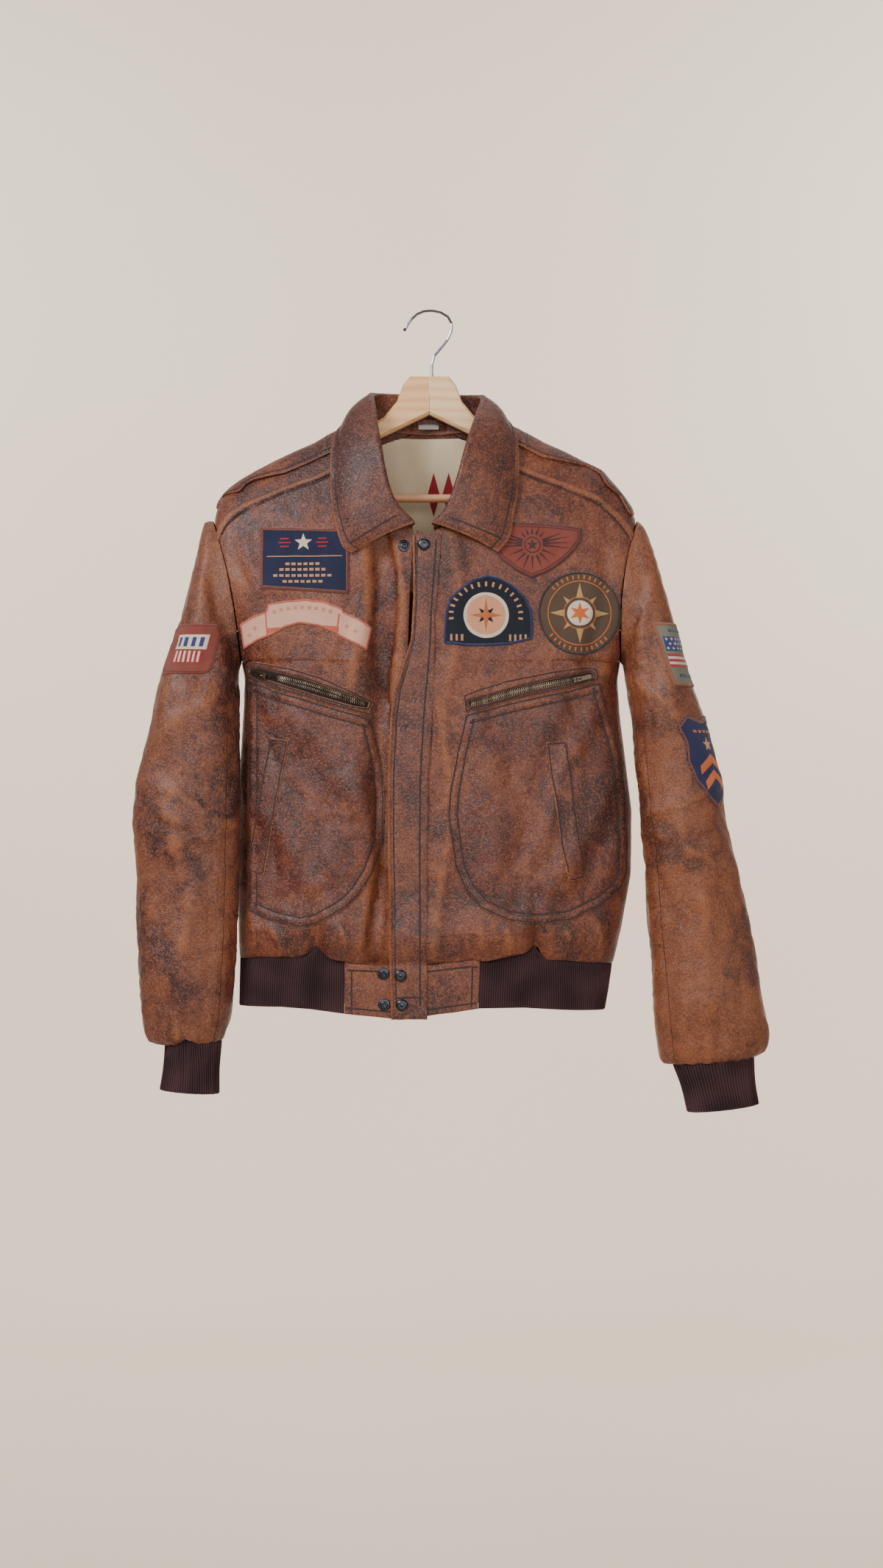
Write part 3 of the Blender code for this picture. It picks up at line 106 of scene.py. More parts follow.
FRONT_HEM = [
    (-225, -767), (-190, -764), (-151, -763.5), (-140, -758), (-132, -749), (-122, -759), (-112, -766),
    (-90, -770), (-45, -771), (0, -771), (50, -765), (64, -768), (91, -763), (114, -758), (124, -747),
    (134, -766), (165, -768), (222, -774)]
BACK_HEM = [(-225, -767), (222, -774)]
NECK = {
    "right": [(-2, -270), (-20, -265), (-42, -250), (-56, -232), (-64, -207), (-70, -182), (-75, -158),
              (-79, -139)],
    "left": [(0, -270), (14, -262), (34, -250), (46, -232), (53, -207), (60, -182), (66, -158), (71, -139)]}
NECK_POINT = {"right": -80.0, "left": 73.0}
BACK_NECK = [(-80, -133), (-68, -134.5), (-42, -138), (0, -140), (38, -138), (62, -134), (73, -130)]
FRONT_EDGE_RIGHT = [(-835, -24), (-400, -24), (-272, -19)]
FRONT_EDGE_GAP = 4.5
FRONT_FOLDS = [
    ((-57, -300), (-57, -770), 14, -13),
    ((-132, -700), (-132, -762), 9, -7),
    ((124, -695), (124, -762), 9, -7),
    ((-205, -345), (-150, -500), 20, 4),
    ((-190, -560), (-120, -740), 22, 4),
    ((190, -350), (150, -470), 20, 4),
    ((215, -520), (120, -720), 24, 4),
    ((55, -500), (70, -740), 20, 4),
    ((-95, -560), (-100, -740), 16, 4)]
BACK_FOLDS = [
    ((-150, -300), (-60, -520), 24, 4),
    ((150, -300), (70, -560), 24, 4),
    ((-110, -560), (-130, -740), 20, 4),
    ((20, -540), (10, -740), 22, 4),
    ((140, -580), (130, -740), 20, 4)]
SLEEVE_RINGS = {
    "right": [
        ((-266, -253), (-225, -423), -10, 43), ((-272, -276), (-226, -428), -13, 43),
        ((-279, -306), (-226, -437), -18, 43), ((-288, -349), (-225, -452), -25, 43),
        ((-301, -392), (-224, -474), -32, 42), ((-314, -436), (-223, -500), -37, 42),
        ((-327, -490), (-221, -535), -40, 41), ((-340, -548), (-221, -575), -41, 40),
        ((-348, -600), (-221, -612), -42, 40), ((-343, -655), (-222, -655), -42, 39),
        ((-343, -715), (-224, -715), -42, 38), ((-341, -775), (-227, -775), -42, 37),
        ((-337, -830), (-232, -829), -42, 36), ((-329, -861), (-239, -853), -42, 32),
        ((-310, -867), (-243, -861.5), -42, 27)],
    "left": [
        ((253, -257), (229, -420), -10, 43), ((262, -278), (230, -425), -13, 43),
        ((270, -306), (231, -434), -17, 43), ((281, -349), (233, -450), -22, 42),
        ((294, -392), (236, -474), -27, 42), ((306, -436), (239, -502), -30, 41),
        ((324, -490), (242, -540), -32, 41), ((340, -548), (246, -580), -33, 41),
        ((350, -612), (250, -628), -33, 40), ((366, -680), (254, -688), -33, 40),
        ((382, -750), (259, -755), -33, 40), ((391, -810), (263, -815), -33, 40),
        ((400, -850), (267, -862), -33, 39), ((397, -873), (272, -888), -33, 35),
        ((382, -882), (286, -890.5), -33, 30)]}
CUFF_ENDS = {
    "right": ((-316, -919), (-246, -924), -42, 25),
    "left": ((388, -937), (303, -947), -33, 27)}
SLEEVE_START = 0.9
SEAM_ANGLES = (140, 240)
COLLAR_SEAM = {
    "right": [(-20, -265), (-42, -250), (-56, -232), (-64, -207), (-70, -182), (-75, -158), (-79, -139)],
    "left": [(6, -265), (30, -251), (45, -232), (53, -207), (60, -182), (66, -158), (71, -139)]}
COLLAR_ROLL = {
    "right": [
        (-16, -76, -260), (-32, -79, -244), (-42, -81, -230), (-49, -80, -207), (-55, -74, -178),
        (-60, -62, -150), (-64, -42, -122), (-68, -14, -101), (-60, 10, -96), (-38, 21, -95)],
    "left": [
        (3, -76, -260), (17, -79, -247), (26, -81, -228), (35, -80, -201), (42, -74, -174),
        (50, -62, -148), (57, -42, -124), (63, -14, -104), (54, 10, -98), (34, 21, -96)]}
COLLAR_EDGE = {
    "right": [
        (-90, -294), (-101, -285), (-109, -260), (-114, -230), (-115.5, -199), (-115, -172), (-111, -152),
        (-99, -137), (-84, -146), (-50, -158)],
    "left": [
        (80, -293), (93, -276), (98, -252), (103, -222), (105, -195), (104.5, -168), (101, -149),
        (89, -134), (76, -144), (46, -156)]}
COLLAR_BACK = ((0, -140), (0, 24, -94), (0, -165))
COLLAR_THICKNESS = 2.4
COLLAR_CLEARANCE = 3.3
ROLL_RADIUS = 3.2
EPAULETTE_FRONT = {
    "right": [(-96, -166), (-120, -175), (-146, -187), (-173, -198), (-207, -205), (-217, -209.5), (-225, -219),
              (-244, -220), (-251, -232)],
    "left": [(90, -159), (108, -166), (134, -179), (164, -184), (189.5, -188), (203, -197), (208, -210),
             (225, -222), (239, -247)]}
EPAULETTE_END_X = {"right": -251.0, "left": 241.0}
EPAULETTE_BACK_LEVEL = 0.30
EPAULETTE_LIFT = (0.4, 2.9)
FLAP_LEFT = [
    (-835, -43), (-763, -45), (-706, -45), (-630, -47), (-555, -47), (-486, -44), (-456, -40), (-429, -31),
    (-395, -20), (-346, -17), (-272, -18)]
FLAP_RIGHT = [(-835, -2), (-630, -2), (-555, -1), (-441, 6), (-365, 7), (-278, 15)]
FLAP_LIFT = (0.5, 2.1)
FLAP_BOTTOM = -835.0
FLAP_TOP_LEVEL = 0.828
BAND_DEPTH = {"front": 60.0, "back": 48.0}
BAND_BACK_BOTTOM = -826.0
BAND_BOTTOM_X = {"right": -226.0, "left": 209.0}
BAND_BOTTOM = [(-226, -823), (-173, -822), (-138, -824), (-98, -829), (-45, -834), (-2, -831), (59, -822.5),
               (110, -822), (165, -826), (209, -828)]
TAB_RIGHT_X = (-98.0, -24.5)
TAB_LEFT_X = (-19.5, 59.0)
POCKET_RIGHT = [
    (-67, -485.5), (-55, -536), (-51, -578), (-53, -630), (-65, -665), (-80, -690), (-96, -706), (-127, -724),
    (-149, -729), (-184, -722), (-213, -710), (-213, -437), (-181, -451.5), (-148, -461.5), (-115, -471.5),
    (-83, -480.5)]
POCKET_LEFT = [
    (42, -481), (31, -527), (23, -570), (21, -600), (24, -622), (29, -658), (42, -687), (60, -707),
    (91, -721), (128, -725), (165, -721), (202, -704), (226, -685), (233, -668), (234, -626), (231, -570),
    (225, -527), (213, -485), (201, -443), (197, -442.5), (163, -451.5), (127, -459.5), (91, -467.5),
    (55, -477.5)]
ZIP_FRAME_RIGHT = [
    (-216, -422), (-209, -418), (-192, -420), (-159, -427), (-126, -437), (-94, -451), (-63, -466),
    (-66, -484), (-83, -479), (-115, -470), (-148, -460), (-181, -450), (-202, -441), (-215, -434)]
ZIP_SLOT_RIGHT = [
    (-211, -426.5), (-199, -427), (-170, -434), (-137, -443), (-105, -455), (-70, -467), (-72, -473),
    (-88, -471), (-126, -460), (-170, -446), (-197, -437), (-210, -431)]
ZIP_FRAME_LEFT = [
    (39, -459), (55, -452), (91, -441), (139, -431), (181, -424), (196, -426), (200, -439), (197, -441),
    (163, -450), (127, -458), (91, -466), (55, -476), (42, -479)]
ZIP_SLOT_LEFT = [
    (45, -466), (67, -461), (103, -450), (151, -439), (190, -431.5), (192, -436.5), (187, -438),
    (151, -446), (103, -457), (67, -467.5), (47, -472)]
POCKET_SEAMS = (2.2, 11.5)
POCKET_RIDGE = 6.8
WELT_RIGHT = [(-186, -507), (-162, -511), (-192, -669), (-214, -665)]
WELT_LEFT = [(135, -513), (160, -512), (181, -672), (159, -674)]
PATCH_PANEL = [(-197, -262), (-93, -266), (-93, -341), (-197, -334)]
PATCH_SCROLL = [
    (-221, -375), (-205, -366), (-190, -361), (-188, -352), (-166, -348.5), (-144, -347), (-122, -350),
    (-101, -358), (-99, -362), (-83, -369), (-67, -380), (-70, -394), (-73, -407), (-88, -398),
    (-104, -391), (-108, -387), (-128, -378.5), (-151, -375), (-168, -380), (-184, -389), (-199, -394),
    (-217, -404)]
PATCH_WING = [
    (64, -259), (92, -257), (121, -258), (150, -260), (178, -263), (177, -279), (167, -293), (154, -305),
    (139, -315), (119, -323), (100, -314), (84, -302), (72, -284)]
PATCH_ARCH = [
    (17, -399), (17.5, -380), (19, -362), (25, -346), (37, -334), (51, -324), (68, -319), (84, -323),
    (99, -331), (112, -344), (119, -358), (121, -376), (120, -394), (94, -400), (68, -402), (42, -402)]
PATCH_DISC = ((175.0, -363.0), 48.5)
PATCH_SQUARE = ((-268, -405), (-0.45, -0.89), [(-34, 24), (-26, 29), (28, 29), (34, 24), (34, -24), (28, -29),
                                               (-28, -29), (-34, -23)])
PATCH_STRIPES = ((276, -411), (0.96, -0.28), [(-34, 37), (32, 37), (36, -37), (-30, -37)])
PATCH_SHIELD = ((305, -535), (0.85, -0.53), [
    (-38, 40), (-22, 54), (0, 47), (22, 54), (38, 40), (33, 22), (36, 0), (30, -24), (16, -44), (0, -56),
    (-16, -44), (-30, -24), (-36, 0), (-33, 22)])
SNAP_RADIUS = 7.0
SNAP_STEPS = 40
SNAP_SEAT = 0.3
CAP_PROFILE = [
    (0, 2.5), (0.28, 2.5), (0.36, 2.25), (0.5, 2.55), (0.62, 2.45), (0.8, 2.0), (0.94, 1.3), (1, 0.7), (1, 0.0)]
SOCKET_PROFILE = [
    (0, 0.4), (0.24, 0.4), (0.28, 1.5), (0.36, 1.9), (0.46, 1.9), (0.54, 1.4), (0.6, 1.0), (0.78, 1.1),
    (0.9, 1.0), (1, 0.5), (1, 0.0)]
SNAPS = {
    "snap_socket_top": ("front_right", (-29, -285.5), SOCKET_PROFILE),
    "snap_cap_top": ("front_flap", (-6, -284), CAP_PROFILE),
    "snap_cap_waist_upper": ("front_flap", (-33, -784), CAP_PROFILE),
    "snap_cap_waist_lower": ("front_flap", (-31.5, -818), CAP_PROFILE),
    "snap_socket_waist_upper": ("waist_tab_right", (-53, -782), SOCKET_PROFILE),
    "snap_socket_waist_lower": ("waist_tab_right", (-52, -818), SOCKET_PROFILE)}


def linear(channel):
    """Turn one sRGB channel, 0 to 255, into a linear value."""
    value = channel / 255
    return value / 12.92 if value <= 0.04045 else ((value + 0.055) / 1.055) ** 2.4


def ease(value):
    value = min(max(value, 0.0), 1.0)
    return value * value * (3 - 2 * value)


def mix(start, end, share):
    return start + (end - start) * share


def read(table, position):
    """Read a line of (position, value) points, whichever way it runs."""
    points = sorted(table)
    return float(np.interp(position, [p[0] for p in points], [p[1] for p in points]))


def side_of(s):
    return "right" if s < 0 else "left"


def height(face, s, level):
    """Height of the torso at s across (-1 right side, 1 left side) and a level down it.

    Level 0 is the shoulder ridge, 1 the middle of the armhole, 2 its pit, and HEM_LEVEL the hem.
    """
    side = side_of(s)
    if level < 1:
        ridge = read(SHOULDER_RIDGE, ARM_TOP_X[side] * abs(s))
        return ARM_MIDDLE_Z + (ridge - ARM_MIDDLE_Z) * math.cos(level * math.pi / 2)
    if level <= 2:
        return ARM_MIDDLE_Z + (ARM_MIDDLE_Z - ARM_PIT_Z) * math.cos(level * math.pi / 2)
    hem = read(FRONT_HEM if face == "front" else BACK_HEM, SIDE_SEAM[side][0][1] * abs(s))
    return mix(ARM_PIT_Z, hem, (level - 2) / (HEM_LEVEL - 2))


def side_x(side, level):
    """Outline of the torso at a level: the armhole's edge, then the side seam."""
    if level > 2:
        return read(SIDE_SEAM[side], height("back", SIGN[side], level))
    turn = level * math.pi / 2
    middle = (ARM_TOP_X[side] + ARM_PIT_X[side]) / 2
    return middle + (ARM_TOP_X[side] - middle) * math.cos(turn) + ARM_BOW[side] * math.sin(turn) ** 2


def fold_height(folds, x, z):
    """Sum of the soft folds at a place on the cloth."""
    total = 0.0
    for start, end, width, rise in folds:
        run = (end[0] - start[0], end[1] - start[1])
        length = math.hypot(*run)
        along = ((x - start[0]) * run[0] + (z - start[1]) * run[1]) / length
        across = ((x - start[0]) * run[1] - (z - start[1]) * run[0]) / length
        beyond = max(-along, along - length, 0.0)
        total += rise * math.exp(-(across / width) ** 2 - (beyond / (1.5 * width)) ** 2)
    return total


def depth(face, s, level):
    """Half-depth of the torso, from a sharp side seam below to an open armhole above."""
    edge = ARM_DEPTH[face] * math.sin(min(level, 2) * math.pi / 2)
    full = FULL_DEPTH[face] * math.sin(min(level, 1) * math.pi / 2)
    soft = 1 - abs(s) ** 2.2
    round_side = max(1 - abs(s) ** SIDE_ROUNDNESS, 0) ** (1 / SIDE_ROUNDNESS)
    return edge + (full - edge) * mix(soft, round_side, ease(level - 1))


def blouse(z, hem):
    """How far the cloth stands out over the waistband, and pulls in at the hem itself."""
    above = z - hem
    return BLOUSE_RISE * math.exp(-((above - 32) / 24) ** 2) - BLOUSE_DROP * math.exp(-(above / 8) ** 2)


def torso(face, s, level, folded=True):
    """A point of the torso's outer face."""
    z = height(face, s, level)
    x = side_x(side_of(s), level) * abs(s)
    reach = depth(face, s, level)
    drape = blouse(z, height(face, s, HEM_LEVEL)) if level > 2 else 0.0
    if folded:
        drape += fold_height(FRONT_FOLDS if face == "front" else BACK_FOLDS, x, z)
    reach += drape * min(reach / 30, 1)
    if level >= 1:
        reach = max(reach, 0.2)
    return (x, MIDDLE_Y + (-reach if face == "front" else reach), z)


def s_at(x, level):
    """How far across the torso x lies at a level."""
    side = side_of(x)
    return x / side_x(side, level) * SIGN[side]


def locate(face, x, z):
    """Find s and level of the torso at a place seen from the front."""
    level = 1.0
    for _ in range(12):
        s = s_at(x, level)
        low, high = 0.0, HEM_LEVEL
        for _ in range(30):
            level = (low + high) / 2
            if height(face, s, level) > z:
                low = level
            else:
                high = level
    return s, level


@functools.cache
def neck_line(face, side):
    """The neck edge of a face, as sorted (s, level) points."""
    if face == "front":
        return sorted(locate(face, x, z) for x, z in NECK[side])
    return sorted(locate(face, x, z) for x, z in BACK_NECK if x * SIGN[side] >= 0 and abs(x) < 70)


def neck_level(s):
    """Level at which the front's neck edge crosses s, or 0 outside the neck."""
    points = neck_line("front", side_of(s))
    if abs(s) > max(abs(p[0]) for p in points):
        return 0.0
    return read(points, s)


def neck_across(side, level):
    """How far from the middle the neck edge lies at a level, negative levels being in front."""
    ridge = (0.0, NECK_POINT[side] / ARM_TOP_X[side])
    front = [(-height_level, abs(s)) for s, height_level in neck_line("front", side)]
    back = [(height_level, abs(s)) for s, height_level in neck_line("back", side)]
    return read(front + [ridge] + back, level)


def unit(vectors):
    """Vectors of the same directions, all one long."""
    return vectors / np.maximum(np.linalg.norm(vectors, axis=-1, keepdims=True), 1e-9)


def normals(points, ring=False):
    """Outward normals of a grid whose rows run down and whose columns run to the left when seen outside."""
    if ring:
        across = (np.roll(points, -1, axis=1) - np.roll(points, 1, axis=1)) / 2
    else:
        across = np.gradient(points, axis=1)
    return unit(np.cross(np.gradient(points, axis=0), across))


def seam_level(s):
    """Half the gap of a yoke seam, as a level, wider where the shoulder curves most."""
    return SEAM_LEVEL * (1 + 14 * s ** 8)


def front_edge(side, z):
    """The hidden middle edge of a front, under the wind flap."""
    edge = read(FRONT_EDGE_RIGHT, z)
    return edge if side == "right" else edge + FRONT_EDGE_GAP


def front_point(side, share, level):
    """s at a share of the way from a front's middle edge to its side."""
    z = height("front", 0.08 * SIGN[side], level)
    return mix(s_at(front_edge(side, z), level), SIGN[side], share)


def elbow_fold(side, row, angle):
    """Soft ridges across the front of the elbow and up the arm."""
    if row >= len(SLEEVE_RINGS[side]) - 1:
        return 0.0
    return 2.5 * math.sin(row * 2.1 + 1.3 * math.sin(angle)) * ease(row / 4)


def travelled(line):
    """The distance along a line to each of its points."""
    return np.r_[0, np.cumsum(np.linalg.norm(np.diff(line, axis=0), axis=1))]


def sampled(values, run, places):
    """Values known at the distances run, read at other distances."""
    return np.stack([np.interp(places, run, values[:, axis]) for axis in range(values.shape[1])], axis=1)


def along_line(points, count, closed):
    """Points at equal steps along a line."""
    line = np.vstack([points, points[:1]]) if closed else points
    run = travelled(line)
    return sampled(line, run, np.linspace(0, run[-1], count, endpoint=not closed))


def band_point(face, s, share, lift=0.0):
    """A point of the waistband, from the hem at share 0 to its lower edge at share 1."""
    side = side_of(s)
    x = mix(side_x(side, HEM_LEVEL), BAND_BOTTOM_X[side], share) * abs(s)
    hem = min(height(face, s * nearby, HEM_LEVEL) for nearby in (0.95, 1.0, 1.05)) - 1.0
    z = mix(hem, read(BAND_BOTTOM, x) if face == "front" else BAND_BACK_BOTTOM, share)
    reach = BAND_DEPTH[face] * max(1 - abs(s) ** SIDE_ROUNDNESS, 0) ** (1 / SIDE_ROUNDNESS) + lift
    return (x, MIDDLE_Y + (-reach if face == "front" else reach), z)


def band_s(x):
    return s_at(x, HEM_LEVEL)


def surface_y(x, z):
    """y of the front at a place seen from the front."""
    s, level = locate("front", x, z)
    return torso("front", s, level, folded=False)[1]


def clear_of_torso(point, clearance):
    """Move a point outwards until it lies clear of the shoulders and chest."""
    x, y, z = point
    side = side_of(x)
    ridge = read(SHOULDER_RIDGE, x)
    face = "front" if y < MIDDLE_Y else "back"
    a = depth(face, x / ARM_TOP_X[side] * SIGN[side], 1.0)
    b = ridge - ARM_MIDDLE_Z
    for _ in range(4):
        u, v = (y - MIDDLE_Y) / a, (z - ARM_MIDDLE_Z) / b
        radius = math.hypot(u, v)
        slope_y, slope_z = u / (a * radius), v / (b * radius)
        steep = math.hypot(slope_y, slope_z)
        missing = clearance - (radius - 1) / steep
        if missing <= 0:
            break
        y += missing * slope_y / steep
        z += missing * slope_z / steep
    return np.array((x, y, z))


def catmull_rom(a, b, c, d, t):
    """A point at a share t of the way from b to c, on a smooth line through all four."""
    return 0.5 * (2 * b + (c - a) * t + (2 * a - 5 * b + 4 * c - d) * t ** 2 + (3 * b - a - 3 * c + d) * t ** 3)


def padded(points):
    """The points with one more at each end, in line with the last two."""
    return np.concatenate([2 * points[:1] - points[1:2], points, 2 * points[-1:] - points[-2:-1]])


def smooth_line(points, count):
    """A smooth line through the points."""
    points = np.array(points, float)
    guides = padded(points)
    result = []
    for place in np.linspace(0, len(points) - 1, count):
        step = min(int(place), len(points) - 2)
        result.append(catmull_rom(*guides[step:step + 4], place - step))
    return np.array(result)


def collar_lines():
    """Seam, roll and edge lines of the collar, from its right front end to its left one."""
    seams, rolls, edges = [], [], []
    for side in SIDES:
        seam = [(x, surface_y(x, z), z) for x, z in COLLAR_SEAM[side]]
        seam.append((NECK_POINT[side], MIDDLE_Y, read(SHOULDER_RIDGE, NECK_POINT[side])))
        for x in (0.85 * NECK_POINT[side], 0.5 * NECK_POINT[side]):
            z = read(BACK_NECK, x)
            seam.append((x, torso("back", *locate("back", x, z), folded=False)[1], z))
        edge = []
        for step, (x, z) in enumerate(COLLAR_EDGE[side]):
            y = surface_y(x, z) - 3 if step < 7 else (MIDDLE_Y, 22, 30)[step - 7]
            edge.append((x, y, z))
        seams.append(seam)
        rolls.append(COLLAR_ROLL[side])
        edges.append(edge)
    (seam_x, seam_z), roll, (edge_x, edge_z) = COLLAR_BACK
    back_seam = (seam_x, torso("back", *locate("back", seam_x, seam_z), folded=False)[1], seam_z)
    middle = (back_seam, roll, (edge_x, 33, edge_z))
    lines = []
    for (right, left), centre in zip((seams, rolls, edges), middle):
        lines.append(smooth_line(list(right) + [centre] + list(left)[::-1], COLLAR_STATIONS))
    return lines


def facing(place, direction, up=(0, 0, 1)):
    """A matrix whose Z points along the direction and whose Y is near the given up."""
    z = Vector(direction).normalized()
    x = Vector(up).cross(z).normalized()
    y = z.cross(x)
    matrix = Matrix((x, y, z)).transposed().to_4x4()
    matrix.translation = Vector(place) * MM
    return matrix


def circle(centre, radius, steps=32):
    return [(centre[0] + radius * math.cos(2 * math.pi * k / steps),
             centre[1] + radius * math.sin(2 * math.pi * k / steps)) for k in range(steps)]


def inset(outline, distance):
    """Move a closed outline inwards."""
    points = np.array(outline, float)
    before, after = np.roll(points, 1, axis=0), np.roll(points, -1, axis=0)
    along = (after - before) / np.linalg.norm(after - before, axis=1, keepdims=True)
    area = np.sum(points[:, 0] * after[:, 1] - points[:, 1] * after[:, 0])
    side = np.stack([-along[:, 1], along[:, 0]], axis=1) * (1 if area > 0 else -1)
    return [tuple(p) for p in points + side * distance]


def shares(length, step):
    """Even shares of a length, with narrow ones at both ends for a rounded edge."""
    inner = np.linspace(0, 1, max(int(length / step), 4) + 1)[1:-1]
    near = np.array([0, 0.5, 1.3, 2.6]) / length
    return np.concatenate([near, inner[(inner > near[-1] * 1.3) & (inner < 1 - near[-1] * 1.3)], 1 - near[::-1]])


def level_rows(top):
    """The same number of levels for each column, from its top to the hem."""
    near = [0, 0.003, 0.008, 0.016]
    rows = [mix(top, 1.0, t) for t in near + list(np.linspace(0.016, 1, 22)[1:-1])]
    rows += list(np.linspace(1, 2, 20)[:-1])
    lower = list(np.linspace(2, HEM_LEVEL, 74))
    return rows + lower[:-1] + [mix(lower[-2], HEM_LEVEL, t) for t in (0.5, 0.8, 1.0)]


def dents(points, creases):
    """Height of given soft creases (x, z, x, z, half-width, rise) at points seen from the front."""
    x, z = points[..., 0], points[..., 2]
    total = np.zeros(x.shape)
    for ax, az, bx, bz, width, rise in creases:
        run = np.array((bx - ax, bz - az), float)
        length = np.hypot(*run)
        run /= length
        along = (x - ax) * run[0] + (z - az) * run[1]
        across = (x - ax) * run[1] - (z - az) * run[0]
        across = across + 0.12 * length * np.sin(along / length * math.pi * 1.4) * 0.35
        beyond = np.maximum(np.maximum(-along, along - length), 0)
        total += rise * np.exp(-(across / width) ** 2 - (beyond / (0.35 * length)) ** 2)
    return total


def crinkle(points, scale, stretch=(1, 1, 1), seed=0.0, ridged=False):
    """A field of soft noise over points, scale being the size of its lumps in mm."""
    flat = points.reshape(-1, 3) / (scale * np.array(stretch)) + seed
    values = np.array([noise.noise(Vector(p)) for p in flat])
    if ridged:
        values = 0.5 - np.abs(values) * 2
    return values.reshape(points.shape[:-1])


def edge_fade(shape, reach, ring=False):
    """0 at the grid's edges and 1 inside, over a number of rows and columns."""
    rows = np.minimum(np.arange(shape[0]), np.arange(shape[0])[::-1])
    columns = np.minimum(np.arange(shape[1]), np.arange(shape[1])[::-1])
    if ring:
        columns = columns * 0 + 1000
    near = np.minimum(rows[:, None], columns[None, :]) / reach
    return np.clip(near, 0, 1) ** 0.7


def blurred(field, steps, ring=False):
    """A box blur in rows and columns."""
    result = field.copy()
    for _ in range(steps):
        wide = np.pad(result, ((1, 1), (0, 0)), mode="edge")
        result = (wide[:-2] + wide[1:-1] * 2 + wide[2:]) / 4
        wide = np.pad(result, ((0, 0), (1, 1)), mode="wrap" if ring else "edge")
        result = (wide[:, :-2] + wide[:, 1:-1] * 2 + wide[:, 2:]) / 4
    return result


class Sheet:
    """A fine grid of cloth, with its outward normals and how far each point stands out of the plain shape."""

    def __init__(self, points, relief=0.0, ring=False, fixed=None):
        plain = normals(points, ring)
        relief = np.broadcast_to(relief, points.shape[:2]).astype(float)
        self.points = points + plain * relief[..., None]
        self.outward = normals(self.points, ring)
        if fixed is not None:
            mask, way = fixed
            self.outward[mask] = way[mask]
        self.ring = ring
        # Raised ridges get positive values, read as rubbed wear; sunk hollows get negative ones, which the materials
        # paint darker as shade.
        raised = relief - blurred(relief, 14, ring)
        self.wear_and_painted_light = np.clip(raised * 0.5, -1, 1)


def edge_roll(shape, ring=False, depth_mm=0.55):
    """A rounded edge: how far the outer face sinks at the first rows and columns."""
    profile = np.array([1.0, 0.45, 0.12, 0.0])
    rows = np.zeros(shape[0])
    columns = np.zeros(shape[1])
    rows[:4] = profile
    rows[-4:] = np.maximum(rows[-4:], profile[::-1])
    if not ring:
        columns[:4] = profile
        columns[-4:] = np.maximum(columns[-4:], profile[::-1])
    return np.maximum(rows[:, None], columns[None, :]) * depth_mm


def quads(rows, columns, ring, offset=0, flip=False):
    """Corner numbers of a grid's faces."""
    span = columns if ring else columns - 1
    r, c = np.meshgrid(np.arange(rows - 1), np.arange(span), indexing="ij")
    a = r * columns + c
    b = (r + 1) * columns + c
    d = r * columns + (c + 1) % columns
    e = (r + 1) * columns + (c + 1) % columns
    corners = [a, b, e, d]
    faces = np.stack(corners[::-1] if flip else corners, axis=-1).reshape(-1, 4) + offset
    return faces


def mesh_object(name, vertices, faces, material, wear_and_painted_light=None, sharp=50):
    """A mesh piece in millimetres that rides on the jacket."""
    mesh = bpy.data.meshes.new(name)
    mesh.from_pydata([tuple(v) for v in np.asarray(vertices) * MM], [], [tuple(int(i) for i in f) for f in faces])
    mesh.polygons.foreach_set("use_smooth", [True] * len(mesh.polygons))
    mesh.set_sharp_from_angle(angle=math.radians(sharp))
    if wear_and_painted_light is not None:
        layer = mesh.attributes.new("wear_and_painted_light", "FLOAT", "POINT")
        layer.data.foreach_set("value", np.asarray(wear_and_painted_light, np.float32))
    mesh.materials.append(material)
    piece = bpy.data.objects.new(name, mesh)
    bpy.context.scene.collection.objects.link(piece)
    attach(piece, "jacket")
    return piece


def measured(points, ring=False):
    """Width, length and area of a grid in metres, laid flat."""
    closed = np.concatenate([points, points[:, :1]], axis=1) if ring else points
    across = np.linalg.norm(np.diff(closed, axis=1), axis=2).sum(axis=1).max()
    down = np.linalg.norm(np.diff(points, axis=0), axis=2).sum(axis=0).max()
    a = closed[1:, :-1] - closed[:-1, :-1]
    b = closed[:-1, 1:] - closed[:-1, :-1]
    c = closed[1:, :-1] - closed[1:, 1:]
    d = closed[:-1, 1:] - closed[1:, 1:]
    area = (np.linalg.norm(np.cross(a, b), axis=2) + np.linalg.norm(np.cross(c, d), axis=2)).sum() / 2
    return across * MM, down * MM, area * MM * MM


def declare(piece, width, length, area, held, rests_on):
    """Work out how large the cloth of a piece was before it was hung; the sizes are not passed on.

    Where the area comes out over width times length, if only by rounding, a square that holds it
    is stated instead.
    """
    width, length = max(width, SMALLEST_SIDE), max(length, SMALLEST_SIDE)
    if area > width * length:
        width = length = max(math.sqrt(area) * SQUARE_MARGIN, width)


def face_outwards(piece):
    """Turn a closed mesh over when it faces inwards."""
    body = bmesh.new()
    body.from_mesh(piece.data)
    if body.calc_volume(signed=True) < 0:
        piece.data.flip_normals()
    body.free()


def recalculate(piece):
    """Make every face of a mesh face outwards."""
    body = bmesh.new()
    body.from_mesh(piece.data)
    bmesh.ops.recalc_face_normals(body, faces=body.faces)
    body.to_mesh(piece.data)
    body.free()


def wall_faces(rows, columns, ring):
    """Faces of a wall between an outer grid and an inner one that follows it."""
    count = rows * columns
    last = count - columns
    faces = [*quads(rows, columns, ring), *quads(rows, columns, ring, count, flip=True)]
    for c in range(columns if ring else columns - 1):
        n = (c + 1) % columns
        faces.append((count + n, count + c, c, n))
        faces.append((count + last + c, count + last + n, last + n, last + c))
    if not ring:
        for a in range(0, last, columns):
            b = a + columns
            faces.append((count + a, count + b, b, a))
            a, b = a + columns - 1, b + columns - 1
            faces.append((count + b, count + a, a, b))
    return faces


